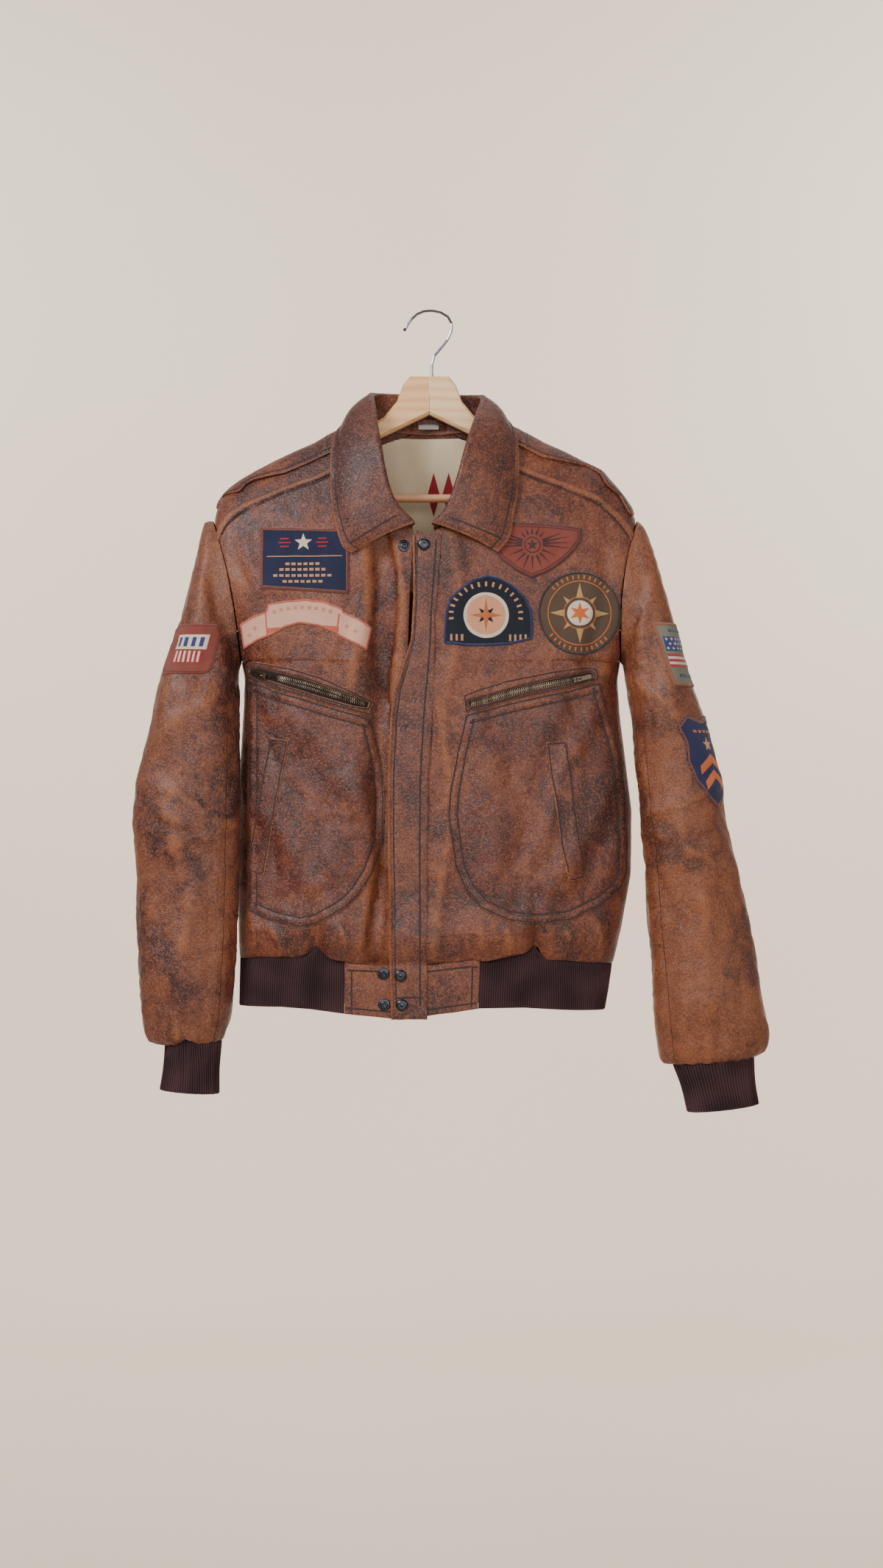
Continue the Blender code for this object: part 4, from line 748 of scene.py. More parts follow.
def closed_faces(faces, count):
    """Outer faces, the same faces on the inner points, and the rim between them."""
    rim = {}
    for f in faces:
        for k in range(3):
            a, b = int(f[k]), int(f[(k + 1) % 3])
            if (b, a) in rim:
                del rim[(b, a)]
            else:
                rim[(a, b)] = True
    result = [tuple(f) for f in faces] + [tuple(f[::-1] + count) for f in faces]
    return result + [(b, a, a + count, b + count) for a, b in rim]


def clothe(name, sheet, material, rests_on, thickness=LEATHER, held="hung", roll=0.55, lift=0.0,
           worn_edges=0.5):
    """Close a fine sheet into a wall and let it stand for its CAD node."""
    shape = sheet.points.shape[:2]
    sunk = edge_roll(shape, sheet.ring, roll)[..., None]
    outer = sheet.points + sheet.outward * (lift - sunk)
    inner = sheet.points + sheet.outward * (lift - thickness)
    vertices = np.concatenate([outer.reshape(-1, 3), inner.reshape(-1, 3)])
    edge = edge_roll(shape, sheet.ring, 1.0) * worn_edges
    wear_and_painted_light = np.concatenate([np.maximum(sheet.wear_and_painted_light, edge).ravel(), np.full(edge.size, INNER_PAINTED_SHADE)])
    piece = mesh_object("look_" + name, vertices, wall_faces(*shape, sheet.ring), material, wear_and_painted_light)
    face_outwards(piece)
    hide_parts(name)
    declare(piece, *measured(sheet.points, sheet.ring), held, rests_on)


def tree_of(*sheets):
    """A search tree over the outer faces of fine sheets."""
    vertices, faces, offset = [], [], 0
    for sheet in sheets:
        rows, columns = sheet.points.shape[:2]
        vertices.append(sheet.points.reshape(-1, 3))
        faces.extend(quads(rows, columns, sheet.ring, offset).tolist())
        offset += rows * columns
    return BVHTree.FromPolygons([tuple(v) for v in np.concatenate(vertices)], faces)


def inside(points, outline):
    """Which 2D points lie inside an outline."""
    polygon = np.asarray(outline, float)
    x, y = points[:, 0], points[:, 1]
    result = np.zeros(len(points), bool)
    for (ax, ay), (bx, by) in zip(polygon, np.roll(polygon, -1, axis=0)):
        crosses = (ay > y) != (by > y)
        with np.errstate(divide="ignore", invalid="ignore"):
            at = (bx - ax) * (y - ay) / (by - ay) + ax
        result ^= crosses & (x < at)
    return result


def outline_distance(points, outlines):
    """Distance from 2D points to the nearest outline."""
    best = np.full(len(points), 1e9)
    for outline in outlines:
        polygon = np.asarray(outline, float)
        for a, b in zip(polygon, np.roll(polygon, -1, axis=0)):
            run = b - a
            length = run @ run
            if length < 1e-12:
                continue
            t = np.clip(((points - a) @ run) / length, 0, 1)
            best = np.minimum(best, np.linalg.norm(points - a - t[:, None] * run, axis=1))
    return best


def spaced(outline, step, closed=True):
    """Points at about even steps along a 2D line."""
    line = np.asarray(outline, float)
    length = travelled(np.vstack([line, line[:1]]) if closed else line)[-1]
    return along_line(line, max(int(length / step), 6), closed)


def softened(outline, radius=3.0, step=1.2):
    """A closed outline with its corners rounded."""
    line = spaced(outline, step)
    for _ in range(max(int(radius / step), 1)):
        line = (np.roll(line, 1, axis=0) + 2 * line + np.roll(line, -1, axis=0)) / 4
    return line


def filled(outlines, step, edge=0.7):
    """Points, faces and edge distance that fill an outline and leave its holes."""
    rings = [np.asarray(o, float) for o in outlines]
    low, high = rings[0].min(axis=0), rings[0].max(axis=0)
    xs = np.arange(low[0], high[0], step)
    ys = np.arange(low[1], high[1], step * 0.87)
    grid = np.array([(x + (step / 2 if k % 2 else 0), y) for k, y in enumerate(ys) for x in xs])
    away = outline_distance(grid, rings)
    keep = inside(grid, rings[0]) & (away > max(0.6 * step, edge * 1.6))
    for hole in rings[1:]:
        keep &= ~inside(grid, hole)
    near = [np.array(inset(ring, edge * (1 if k == 0 else -1))) for k, ring in enumerate(rings)]
    near = [n[::2] for n in near]
    points = [Vector(p) for ring in rings for p in ring]
    edges, start = [], 0
    for ring in rings:
        edges += [(start + k, start + (k + 1) % len(ring)) for k in range(len(ring))]
        start += len(ring)
    extra = np.concatenate([grid[keep]] + near)
    ok = inside(extra, rings[0]) & (outline_distance(extra, rings) > 0.5 * edge)
    for hole in rings[1:]:
        ok &= ~inside(extra, hole)
    points += [Vector(p) for p in extra[ok]]
    found, _, faces, _, _, _ = delaunay_2d_cdt(points, edges, [], 0, 1e-5)
    flat = np.array([tuple(p) for p in found])
    faces = np.array([f for f in faces if len(f) == 3])
    middles = flat[faces].mean(axis=1)
    good = inside(middles, rings[0])
    for hole in rings[1:]:
        good &= ~inside(middles, hole)
    a, b, c = (flat[faces[:, k]] for k in range(3))
    size = (b[:, 0] - a[:, 0]) * (c[:, 1] - a[:, 1]) - (c[:, 0] - a[:, 0]) * (b[:, 1] - a[:, 1])
    good &= np.abs(size) > 1e-7
    faces = faces[good]
    faces[size[good] < 0] = faces[size[good] < 0][:, ::-1]
    used = np.unique(faces)
    number = np.full(len(flat), -1)
    number[used] = np.arange(len(used))
    flat = flat[used]
    return flat, number[faces], outline_distance(flat, rings)


class View:
    """A plane from which outlines are cast on a surface along a direction."""

    def __init__(self, tree, direction=(0, -1, 0), origin=(0, 0, 0), reach=150.0):
        self.tree = tree
        self.way = np.array(Vector(direction).normalized())
        self.u = np.cross((0.0, 0.0, 1.0), self.way)
        self.u /= np.linalg.norm(self.u)
        self.v = np.cross(self.way, self.u)
        self.origin = np.array(origin, float)
        self.reach = reach

    def hit(self, flat):
        start = self.origin + self.u * flat[0] + self.v * flat[1] + self.way * self.reach
        place = self.tree.ray_cast(Vector(start), Vector(-self.way))[0]
        if place is None:
            place = self.tree.find_nearest(Vector(start - self.way * self.reach))[0]
        return np.array(place)

    def cast(self, flat, gap=1.6):
        """Points of the surface under flat places, and the way it faces there."""
        flat = np.asarray(flat, float)
        steps = ((0, 0), (gap, 0), (-gap, 0), (0, gap), (0, -gap))
        points, right, left, above, below = (np.array([self.hit(p) for p in flat + step]) for step in steps)
        outward = np.cross(right - left, above - below)
        length = np.linalg.norm(outward, axis=1, keepdims=True)
        outward = np.where(length > 1e-6, outward / np.maximum(length, 1e-9), self.way)
        outward = np.where((outward @ self.way)[:, None] < 0.05, self.way, outward)
        return points, outward


SURFACES = {}


def on_top(name, view):
    """The same view, onto the outer face of a piece that is already sewn on."""
    return OnPiece(view, SURFACES[name])


def divided(outline, step=3.0):
    """An outline with more points on its long sides."""
    points = np.asarray(outline, float)
    result = []
    for a, b in zip(points, np.roll(points, -1, axis=0)):
        count = max(int(np.linalg.norm(b - a) / step), 1)
        result += [tuple(mix(a, b, k / count)) for k in range(count)]
    return result


class Wrap(View):
    """Outlines laid round a sleeve: across along its ring, up along its height."""

    STEP = 0.5
    SPAN = 80

    def __init__(self, sheet, direction, middle):
        super().__init__(tree_of(sheet), direction, (middle[0], MIDDLE_Y - 34, middle[1]), reach=60)
        self.low = middle[1] - self.SPAN
        levels = np.arange(self.low, middle[1] + self.SPAN, self.STEP)
        columns = [sheet.points[:, k] for k in range(sheet.points.shape[1])]
        self.rings = np.array([[np.interp(levels, c[::-1, 2], c[::-1, axis]) for c in columns] for axis in (0, 1)])
        self.rings = np.transpose(self.rings, (2, 1, 0))
        self.level = middle[1]
        start = View.hit(self, (0, 0))
        ring = self.ring_at(start[2])
        away = np.linalg.norm(ring - start[:2], axis=1)
        self.column = int(np.argmin(away))
        before, after = ring[self.column - 1], ring[(self.column + 1) % len(ring)]
        self.turn = 1 if np.dot(after - before, self.u[:2]) > 0 else -1

    def ring_at(self, z):
        place = (z - self.low) / self.STEP
        k = int(min(max(place, 0), len(self.rings) - 2))
        return mix(self.rings[k], self.rings[k + 1], min(max(place - k, 0), 1))

    def hit(self, flat):
        z = self.level + flat[1]
        ring = np.roll(self.ring_at(z), -self.column, axis=0)
        if self.turn * flat[0] < 0:
            ring = np.roll(ring[::-1], 1, axis=0)
        return np.array((*sampled(ring, travelled(ring), [abs(flat[0])])[0], z))


class OnPiece:
    """The same layout, moved out onto the outer face of a piece that is already sewn on."""

    def __init__(self, below, tree):
        self.below, self.tree = below, tree

    def cast(self, flat, gap=1.6):
        points, outward = self.below.cast(flat, gap)
        result = []
        for point, out in zip(points, outward):
            place = self.tree.ray_cast(Vector(point + out * 6), Vector(-out))[0]
            if place is None:
                place = self.tree.find_nearest(Vector(point + out))[0]
            result.append(tuple(place))
        return np.array(result), outward


def extent(flat):
    """Sides of the smallest upright or tilted box around flat points."""
    best = None
    for angle in np.radians(np.arange(0, 90, 3)):
        c, s = math.cos(angle), math.sin(angle)
        turned = flat @ np.array(((c, -s), (s, c)))
        size = turned.max(axis=0) - turned.min(axis=0)
        if best is None or size[0] * size[1] < best[0] * best[1]:
            best = size
    return best


def sewn_on(name, view, outlines, layer, material, rests_on, relief=None, step=4.0, held="laid", edge=0.7,
            worn_edge=0.6):
    """A closed piece laid on a surface within an outline, with a rounded edge."""
    flat, faces, away = filled(outlines, step, edge)
    points, outward = view.cast(flat)
    low, high = layer
    top = low + (high - low) * np.clip(0.35 + 0.65 * away / edge, 0, 1)
    if relief is not None:
        top = top + relief(away, flat)
    outer = points + outward * top[:, None]
    inner = points + outward * low
    rubbed = worn_edge * np.exp(-(away / 1.5) ** 2)
    if relief is pocket_relief:
        # The ridge between the sewn lines gets rubbed wear; along the inner sewn line the leather is painted darker as
        # the shade of its groove.
        ridge = 0.42 * np.exp(-((away - POCKET_RIDGE) / 2.6) ** 2)
        rubbed = rubbed + ridge - 0.5 * np.exp(-((away - POCKET_SEAMS[1]) / 1.6) ** 2)
    wear_and_painted_light = np.concatenate([rubbed, np.full(len(points), INNER_PAINTED_SHADE)])
    piece = mesh_object("look_" + name, np.concatenate([outer, inner]), closed_faces(faces, len(points)), material,
                        wear_and_painted_light)
    face_outwards(piece)
    SURFACES[name] = BVHTree.FromPolygons([tuple(p) for p in outer], [tuple(int(i) for i in f) for f in faces])
    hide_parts(name)
    a, b, c = (points[faces[:, k]] for k in range(3))
    area = np.linalg.norm(np.cross(b - a, c - a), axis=1).sum() / 2 * MM * MM
    size = extent(flat) * MM
    stretch = max(area / (size[0] * size[1]), 1.0)
    declare(piece, size[0] * stretch, size[1], area, held, [rests_on])


THREADS = {}
GROOVE_SHADE_STRIPS = {}
THREAD_LIFT = 0.16
GROOVE_SHADE_LIFT = 0.14
GROOVE_SHADE_HALF = 0.95


def stitch(group, points, outward, pitch=4.0, length=2.9, radius=0.46, closed=False, grooved=True):
    """Stitches along a 3D line, kept in a group that becomes one piece."""
    line = np.asarray(points, float)
    away = np.asarray(outward, float)
    if closed:
        line, away = np.vstack([line, line[:1]]), np.vstack([away, away[:1]])
    run = travelled(line)
    if run[-1] < pitch:
        return
    places = np.arange(pitch / 2, run[-1], pitch)
    normal = unit(sampled(away, run, places))
    along = unit(sampled(line, run, np.minimum(places + 0.6, run[-1]))
                 - sampled(line, run, np.maximum(places - 0.6, 0)))
    side = np.cross(normal, along)
    middle = sampled(line, run, places) + normal * THREAD_LIFT
    THREADS.setdefault(group, []).append((middle, along * (length / 2), side * radius, normal * radius))
    # A flat dark strip under the stitches, painted as the shade of their channel.
    if grooved:
        fine = np.linspace(0, run[-1], max(int(run[-1] / 2.0), 2) + 1)
        track, up = sampled(line, run, fine), unit(sampled(away, run, fine))
        over = np.cross(up, unit(np.gradient(track, axis=0))) * GROOVE_SHADE_HALF
        GROOVE_SHADE_STRIPS.setdefault(group, []).append((track + up * GROOVE_SHADE_LIFT, over))


def sew(group, material):
    """Make one piece of all the stitches of a group."""
    middle, along, side, normal = (np.concatenate([part[k] for part in THREADS[group]]) for k in range(4))
    shape = [(-1, 0, 0), (1, 0, 0)]
    shape += [(s, math.cos(t), math.sin(t)) for s in (-0.55, 0.55) for t in np.arange(4) * math.pi / 2]
    corners = np.stack([middle + a * along + b * side + c * normal for a, b, c in shape], axis=1)
    faces = []
    for k in range(4):
        n = (k + 1) % 4
        faces += [(0, 2 + n, 2 + k), (1, 6 + k, 6 + n), (2 + k, 2 + n, 6 + n, 6 + k)]
    every = [tuple(i + len(shape) * k for i in f) for k in range(len(middle)) for f in faces]
    mesh_object("stitches_" + group, corners.reshape(-1, 3), every, material, sharp=80)


def paint_groove_shades(group, material):
    """Flat dark strips painted along the stitches of a group as the shade of their channels, as one piece."""
    vertices, faces, offset = [], [], 0
    for track, over in GROOVE_SHADE_STRIPS[group]:
        count = len(track)
        vertices += [track - over, track, track + over]
        for k in range(count - 1):
            for left in (0, count):
                a = offset + left + k
                faces.append((a, a + 1, a + 1 + count, a + count))
        offset += 3 * count
    mesh_object("painted_groove_shade_" + group, np.concatenate(vertices), faces, material)


def sew_along(group, view, outline, closed=True, step=2.0, lift=1.5, **sizes):
    """Stitches along a flat line cast on a surface."""
    line = spaced(outline, step, closed)
    points, outward = view.cast(line)
    stitch(group, points + outward * lift, outward, closed=closed, **sizes)


class Finish:
    """A node material under construction, read in the piece's own metres."""

    def __init__(self, name, roughness=0.6, metallic=0.0, sheen=0.0, tint=(1, 1, 1), coat=0.0, specular=0.5):
        self.material = bpy.data.materials.new(name)
        self.material.use_nodes = True
        self.tree = self.material.node_tree
        self.shader = self.tree.nodes["Principled BSDF"]
        self.set(roughness=roughness, metallic=metallic)
        self.shader.inputs["Sheen Weight"].default_value = sheen
        self.shader.inputs["Sheen Roughness"].default_value = 0.45
        self.shader.inputs["Sheen Tint"].default_value = (*tint, 1)
        self.shader.inputs["Coat Weight"].default_value = coat
        self.shader.inputs["Coat Roughness"].default_value = 0.35
        self.shader.inputs["Specular IOR Level"].default_value = specular
        self.place = self.add("ShaderNodeTexCoord").outputs["Object"]

    def set(self, **values):
        for name, value in values.items():
            self.shader.inputs[name.replace("_", " ").title()].default_value = value

    def add(self, kind, **settings):
        node = self.tree.nodes.new(kind)
        for name, value in settings.items():
            setattr(node, name, value)
        return node

    def feed(self, node, name, value):
        socket = node.inputs[name]
        if isinstance(value, bpy.types.NodeSocket):
            self.tree.links.new(value, socket)
        else:
            socket.default_value = value

    def noise(self, scale, detail=4.0, rough=0.55, warp=0.0, place=None):
        node = self.add("ShaderNodeTexNoise")
        for name, value in (("Vector", place or self.place), ("Scale", scale), ("Detail", detail),
                            ("Roughness", rough), ("Distortion", warp)):
            self.feed(node, name, value)
        return node.outputs["Fac"]

    def cells(self, scale, place):
        node = self.add("ShaderNodeTexVoronoi", feature="DISTANCE_TO_EDGE")
        self.feed(node, "Vector", place)
        self.feed(node, "Scale", scale)
        return node.outputs["Distance"]

    def wave(self, scale, direction, warp, place=None):
        node = self.add("ShaderNodeTexWave", bands_direction=direction)
        for name, value in (("Vector", place or self.place), ("Scale", scale), ("Distortion", warp)):
            self.feed(node, name, value)
        return node.outputs["Fac"]

    def turned(self, scale=(1, 1, 1), rotation=(0, 0, 0)):
        node = self.add("ShaderNodeMapping")
        self.feed(node, "Vector", self.place)
        self.feed(node, "Scale", scale)
        self.feed(node, "Rotation", [math.radians(a) for a in rotation])
        return node.outputs["Vector"]

    def warped(self, amount, scale):
        """The place, pushed about by noise."""
        node = self.add("ShaderNodeTexNoise")
        self.feed(node, "Vector", self.place)
        self.feed(node, "Scale", scale)
        away = self.add("ShaderNodeVectorMath", operation="SUBTRACT")
        self.feed(away, 0, node.outputs["Color"])
        self.feed(away, 1, (0.5, 0.5, 0.5))
        size = self.add("ShaderNodeVectorMath", operation="SCALE")
        self.feed(size, 0, away.outputs[0])
        self.feed(size, "Scale", amount)
        total = self.add("ShaderNodeVectorMath", operation="ADD")
        self.feed(total, 0, self.place)
        self.feed(total, 1, size.outputs[0])
        return total.outputs[0]

    def ramp(self, value, *stops):
        node = self.add("ShaderNodeValToRGB")
        self.feed(node, "Fac", value)
        band = node.color_ramp
        while len(band.elements) < len(stops):
            band.elements.new(0.5)
        for element, (position, colour) in zip(band.elements, stops):
            element.position = position
            element.color = (*(colour if hasattr(colour, "__len__") else (colour,) * 3), 1)
        return node.outputs["Color"]

    def math(self, operation, *values, clamp=False):
        node = self.add("ShaderNodeMath", operation=operation, use_clamp=clamp)
        for k, value in enumerate(values):
            self.feed(node, k, value)
        return node.outputs[0]

    def blend(self, share, first, second):
        node = self.add("ShaderNodeMix", data_type="RGBA")
        self.feed(node, 0, share)
        for slot_number, colour in ((6, first), (7, second)):
            if not isinstance(colour, bpy.types.NodeSocket):
                colour = (*colour, 1)
            self.feed(node, slot_number, colour)
        return node.outputs[2]

    def attribute(self, name):
        return self.add("ShaderNodeAttribute", attribute_name=name).outputs["Fac"]

    def total(self, *pairs):
        """Sum of (socket, weight) pairs."""
        result = 0.0
        for value, weight in pairs:
            result = self.math("MULTIPLY_ADD", value, weight, result)
        return result

    def bump(self, relief, distance, strength):
        node = self.add("ShaderNodeBump")
        self.feed(node, "Height", relief)
        self.feed(node, "Distance", distance)
        self.feed(node, "Strength", strength)
        self.feed(self.shader, "Normal", node.outputs["Normal"])

    def colour(self, value):
        self.feed(self.shader, "Base Color", value)

    def rough(self, value):
        self.feed(self.shader, "Roughness", value)


def srgb(*rgb):
    return tuple(linear(c) for c in rgb)


def leather(name, brown=(106, 50, 34), dark=(60, 26, 25), tan=(160, 94, 52), wear=0.0, gloss=0.0):
    look = Finish(name, sheen=0.05, tint=srgb(200, 190, 235), specular=0.46, coat=0.11)
    broad = look.noise(11, 5, 0.6, 0.6)
    cloudy = look.noise(46, 7, 0.62, 0.8)
    speckle = look.noise(430, 3, 0.75)
    mottle = look.noise(150, 4, 0.7, 0.3)
    pores = look.cells(430, look.warped(0.0012, 260))
    wrinkle = look.cells(120, look.warped(0.012, 55))
    base = look.ramp(look.total((broad, 0.5), (cloudy, 0.35), (mottle, 0.15)), (0.425, srgb(*dark)),
                     (0.5, srgb(*brown)), (0.585, srgb(*[mix(a, b, 0.45) for a, b in zip(brown, tan)])))
    rub = look.math("ADD", look.total((look.attribute("wear_and_painted_light"), 0.95), (cloudy, 0.6), (mottle, 0.5)), wear - 0.78,
                    clamp=True)
    rubbed = look.ramp(rub, (0.0, 0.0), (0.3, 0.3), (0.85, 1.0))
    shade = look.blend(look.math("MULTIPLY", rubbed, 0.8), base, srgb(*tan))
    fleck = look.ramp(speckle, (0.5, 0.0), (0.62, 1.0))
    shade = look.blend(look.math("MULTIPLY", fleck, 0.36), shade, srgb(*[min(c + 24, 255) for c in tan]))
    spot = look.ramp(speckle, (0.38, 1.0), (0.47, 0.0))
    shade = look.blend(look.math("MULTIPLY", spot, 0.4), shade, srgb(*[c * 0.7 for c in dark]))
    # Painted shade: where the per-point value is negative, in creases, seam grooves and on inner faces, the leather is
    # darkened.
    painted_crease_shade = look.math("MULTIPLY", look.attribute("wear_and_painted_light"), -0.9, clamp=True)
    shade = look.blend(painted_crease_shade, shade, srgb(*[c * 0.55 for c in dark]))
    cracks = look.ramp(pores, (0.0, 1.0), (0.16, 0.0))
    shade = look.blend(look.math("MULTIPLY", cracks, 0.32), shade, srgb(*[c * 0.62 for c in dark]))
    look.colour(shade)
    folds = look.ramp(wrinkle, (0.0, 0.0), (0.24, 1.0))
    look.bump(look.total((cloudy, 1.1), (mottle, 0.4), (folds, 0.12), (look.ramp(pores, (0, 0), (0.3, 1)), 0.22),
                         (speckle, 0.32)), 0.0013, 0.8)
    look.rough(look.math("ADD", look.total((cloudy, 0.26), (rubbed, 0.14)), 0.28 - gloss))
    return look.material


def knit():
    look = Finish("knit", roughness=0.9, sheen=0.5, tint=srgb(190, 150, 150), specular=0.25)
    fuzz = look.noise(900, 3, 0.7)
    patches = look.noise(24, 5, 0.6)
    courses = look.wave(330, "Z", 1.2)
    shade = look.ramp(look.total((patches, 0.7), (fuzz, 0.3)), (0.3, srgb(28, 17, 22)), (0.55, srgb(46, 29, 33)),
                      (0.75, srgb(70, 46, 48)))
    # Painted light on the knit: darker in the rib grooves and on the inner faces as shade, lighter on the rib tops as
    # highlight, with its rubbed edges lighter too.
    shade = look.blend(look.ramp(look.attribute("wear_and_painted_light"), (0.0, 0.75), (0.3, 0.0)), shade, srgb(8, 4, 6))
    shade = look.blend(look.math("MULTIPLY", look.attribute("wear_and_painted_light"), 0.7, clamp=True), shade, srgb(108, 72, 76))
    look.colour(shade)
    look.bump(look.total((courses, 0.7), (fuzz, 0.5)), 0.0006, 0.8)
    return look.material


def strayed(rgb, contrast):
    """A colour made darker, and made lighter."""
    return srgb(*[max(c - contrast, 4) for c in rgb]), srgb(*[min(c + contrast, 255) for c in rgb])


def woven(name, rgb, scale, contrast, twill=False):
    look = Finish(name, roughness=0.85, sheen=0.15, specular=0.3)
    if twill:
        place = look.turned(rotation=(0, 42, 0))
        threads = look.wave(scale * 0.7, "X", 0.6, place)
        second = look.noise(scale * 0.6, 2, 0.6)
    else:
        threads = look.wave(scale * 0.45, "X", 0.5)
        second = look.wave(scale * 0.45, "Z", 0.5)
    cloud = look.noise(34, 5, 0.6)
    dirt = look.noise(9, 4, 0.6)
    deep, light = strayed(rgb, contrast)
    look.colour(look.ramp(look.total((cloud, 0.45), (dirt, 0.25), (threads, 0.15), (second, 0.15)),
                          (0.32, deep), (0.66, light)))
    look.bump(look.total((threads, 0.5), (second, 0.5)), 0.00035, 0.7)
    return look.material


def embroidery(name, rgb, contrast=16):
    look = Finish(name, roughness=0.62, sheen=0.3, tint=(1, 1, 1), specular=0.4)
    threads = look.wave(620, "X", 1.6, look.turned(rotation=(0, 68, 0)))
    rows = look.wave(160, "Z", 2.0)
    fuzz = look.noise(700, 3, 0.7)
    deep, light = strayed(rgb, contrast)
    look.colour(look.ramp(look.total((threads, 0.35), (fuzz, 0.4), (rows, 0.25)), (0.25, deep), (0.7, light)))
    look.bump(look.total((threads, 0.7), (fuzz, 0.3)), 0.0003, 0.8)
    return look.material


def thread(name, rgb):
    look = Finish(name, roughness=0.6, sheen=0.3, specular=0.4)
    twist = look.wave(1400, "X", 1.0, look.turned(rotation=(20, 45, 10)))
    look.colour(look.ramp(twist, (0.2, srgb(*[c * 0.7 for c in rgb])), (0.8, srgb(*rgb))))
    look.bump(twist, 0.0001, 0.6)
    return look.material


def wood(name, light, dark, slope=0.0):
    look = Finish(name, specular=0.45, coat=0.25)
    place = look.turned(scale=(1, 14, 14), rotation=(0, slope, 0))
    grain = look.noise(9, 6, 0.6, 0.6, place)
    rings = look.wave(2.2, "Z", 3.5, place)
    fibre = look.noise(60, 3, 0.6, 0.2, look.turned(scale=(1, 30, 30), rotation=(0, slope, 0)))
    share = look.total((grain, 0.45), (rings, 0.3), (fibre, 0.25))
    look.colour(look.ramp(share, (0.28, srgb(*dark)), (0.5, srgb(*[mix(a, b, 0.7) for a, b in zip(dark, light)])),
                          (0.72, srgb(*light))))
    look.bump(look.total((fibre, 0.6), (grain, 0.4)), 0.00025, 0.4)
    look.rough(look.math("MULTIPLY_ADD", fibre, 0.15, 0.3))
    return look.material


def metal(name, rgb, rough, scuffs, worn_rgb=None):
    look = Finish(name, metallic=1.0, specular=0.5)
    scratch = look.noise(260, 6, 0.7, 0.4)
    spots = look.noise(1500, 3, 0.6)
    worn_rgb = worn_rgb or [min(c * 1.35, 255) for c in rgb]
    look.colour(look.ramp(look.total((scratch, 0.7), (spots, 0.3)), (0.38, srgb(*rgb)), (0.7, srgb(*worn_rgb))))
    look.rough(look.math("MULTIPLY_ADD", scratch, scuffs * 2, rough - scuffs))
    look.bump(look.total((scratch, 0.5), (spots, 0.5)), 0.00008, 0.5)
    return look.material


# Soft creases seen from the front: start x and z, end x and z, half-width, rise
CREASES = {
    "front_right": [
        (-212, -300, -188, -420, 9, -2.2), (-196, -330, -120, -352, 10, 1.4), (-74, -300, -84, -430, 9, 2.4),
        (-40, -300, -36, -470, 8, 2.2), (-92, -330, -100, -430, 8, -1.4), (-150, -480, -96, -560, 12, 1.6),
        (-190, -600, -120, -700, 12, 1.8), (-76, -600, -70, -740, 8, 1.8), (-40, -560, -38, -750, 7, 1.6),
        (-110, -520, -90, -650, 10, -1.4), (-200, -470, -170, -700, 9, -1.2), (-180, -735, -172, -762, 5, 2.0),
        (-47, -288, -45, -440, 5, -3.2), (-50, -470, -58, -752, 6, -3.0),
        (-100, -735, -98, -765, 5, 1.6), (-208, -715, -206, -765, 5, 1.8), (-150, -560, -118, -640, 8, 1.2)],
    "front_left": [
        (206, -300, 190, -420, 9, -2.2), (30, -300, 26, -460, 9, 1.6), (112, -270, 60, -300, 9, -1.2),
        (200, -440, 150, -560, 12, 1.8), (215, -560, 130, -700, 12, 2.0), (60, -500, 84, -640, 12, 1.6),
        (100, -560, 110, -700, 9, -1.4), (170, -480, 190, -660, 8, -1.2), (90, -735, 92, -765, 5, 1.8),
        (160, -735, 158, -765, 5, 1.8), (196, -730, 200, -768, 5, 1.6), (60, -735, 58, -765, 5, 1.4),
        (14, -500, 16, -740, 8, 1.8), (140, -600, 100, -680, 10, 1.4)],
    "back": [
        (-120, -260, -40, -520, 14, 2.0), (120, -260, 40, -520, 14, 2.0), (-200, -430, -130, -560, 12, 2.0),
        (200, -430, 130, -560, 12, 2.0), (-190, -600, -90, -740, 14, 2.0), (190, -600, 80, -740, 14, 2.0),
        (0, -420, 10, -740, 12, 1.6), (-60, -560, -56, -760, 8, -1.6), (60, -580, 62, -760, 8, -1.6),
        (-130, -730, -128, -765, 6, 2.0), (-20, -735, -18, -768, 6, 2.0), (120, -730, 122, -768, 6, 2.0),
        (-180, -230, -60, -280, 12, -1.4), (180, -230, 60, -280, 12, -1.4)],
    "sleeve_right": [
        (-262, -290, -300, -470, 9, 2.6), (-250, -310, -272, -500, 8, -2.2), (-234, -440, -300, -500, 10, 2.0),
        (-330, -560, -240, -600, 8, 2.2), (-336, -600, -250, -640, 8, -1.8), (-330, -650, -260, -620, 7, 1.6),
        (-292, -640, -282, -830, 10, 2.2), (-260, -660, -254, -840, 8, -1.6), (-318, -680, -312, -840, 9, -1.6),
        (-300, -480, -290, -620, 12, 1.8), (-272, -700, -300, -780, 9, 1.4), (-284, -838, -282, -866, 5, -4.0)],
    "sleeve_left": [
        (256, -290, 290, -470, 9, 2.4), (246, -320, 264, -520, 8, -2.2), (250, -450, 316, -520, 10, 2.0),
        (336, -560, 256, -600, 8, 2.2), (344, -610, 262, -640, 8, -1.8), (352, -660, 280, -630, 7, 1.6),
        (300, -640, 330, -840, 10, 2.2), (270, -680, 286, -850, 8, -1.6), (346, -690, 372, -850, 9, -1.6),
        (296, -480, 300, -620, 12, 1.6), (320, -700, 300, -780, 9, 1.4), (336, -846, 338, -880, 5, -4.0)]}


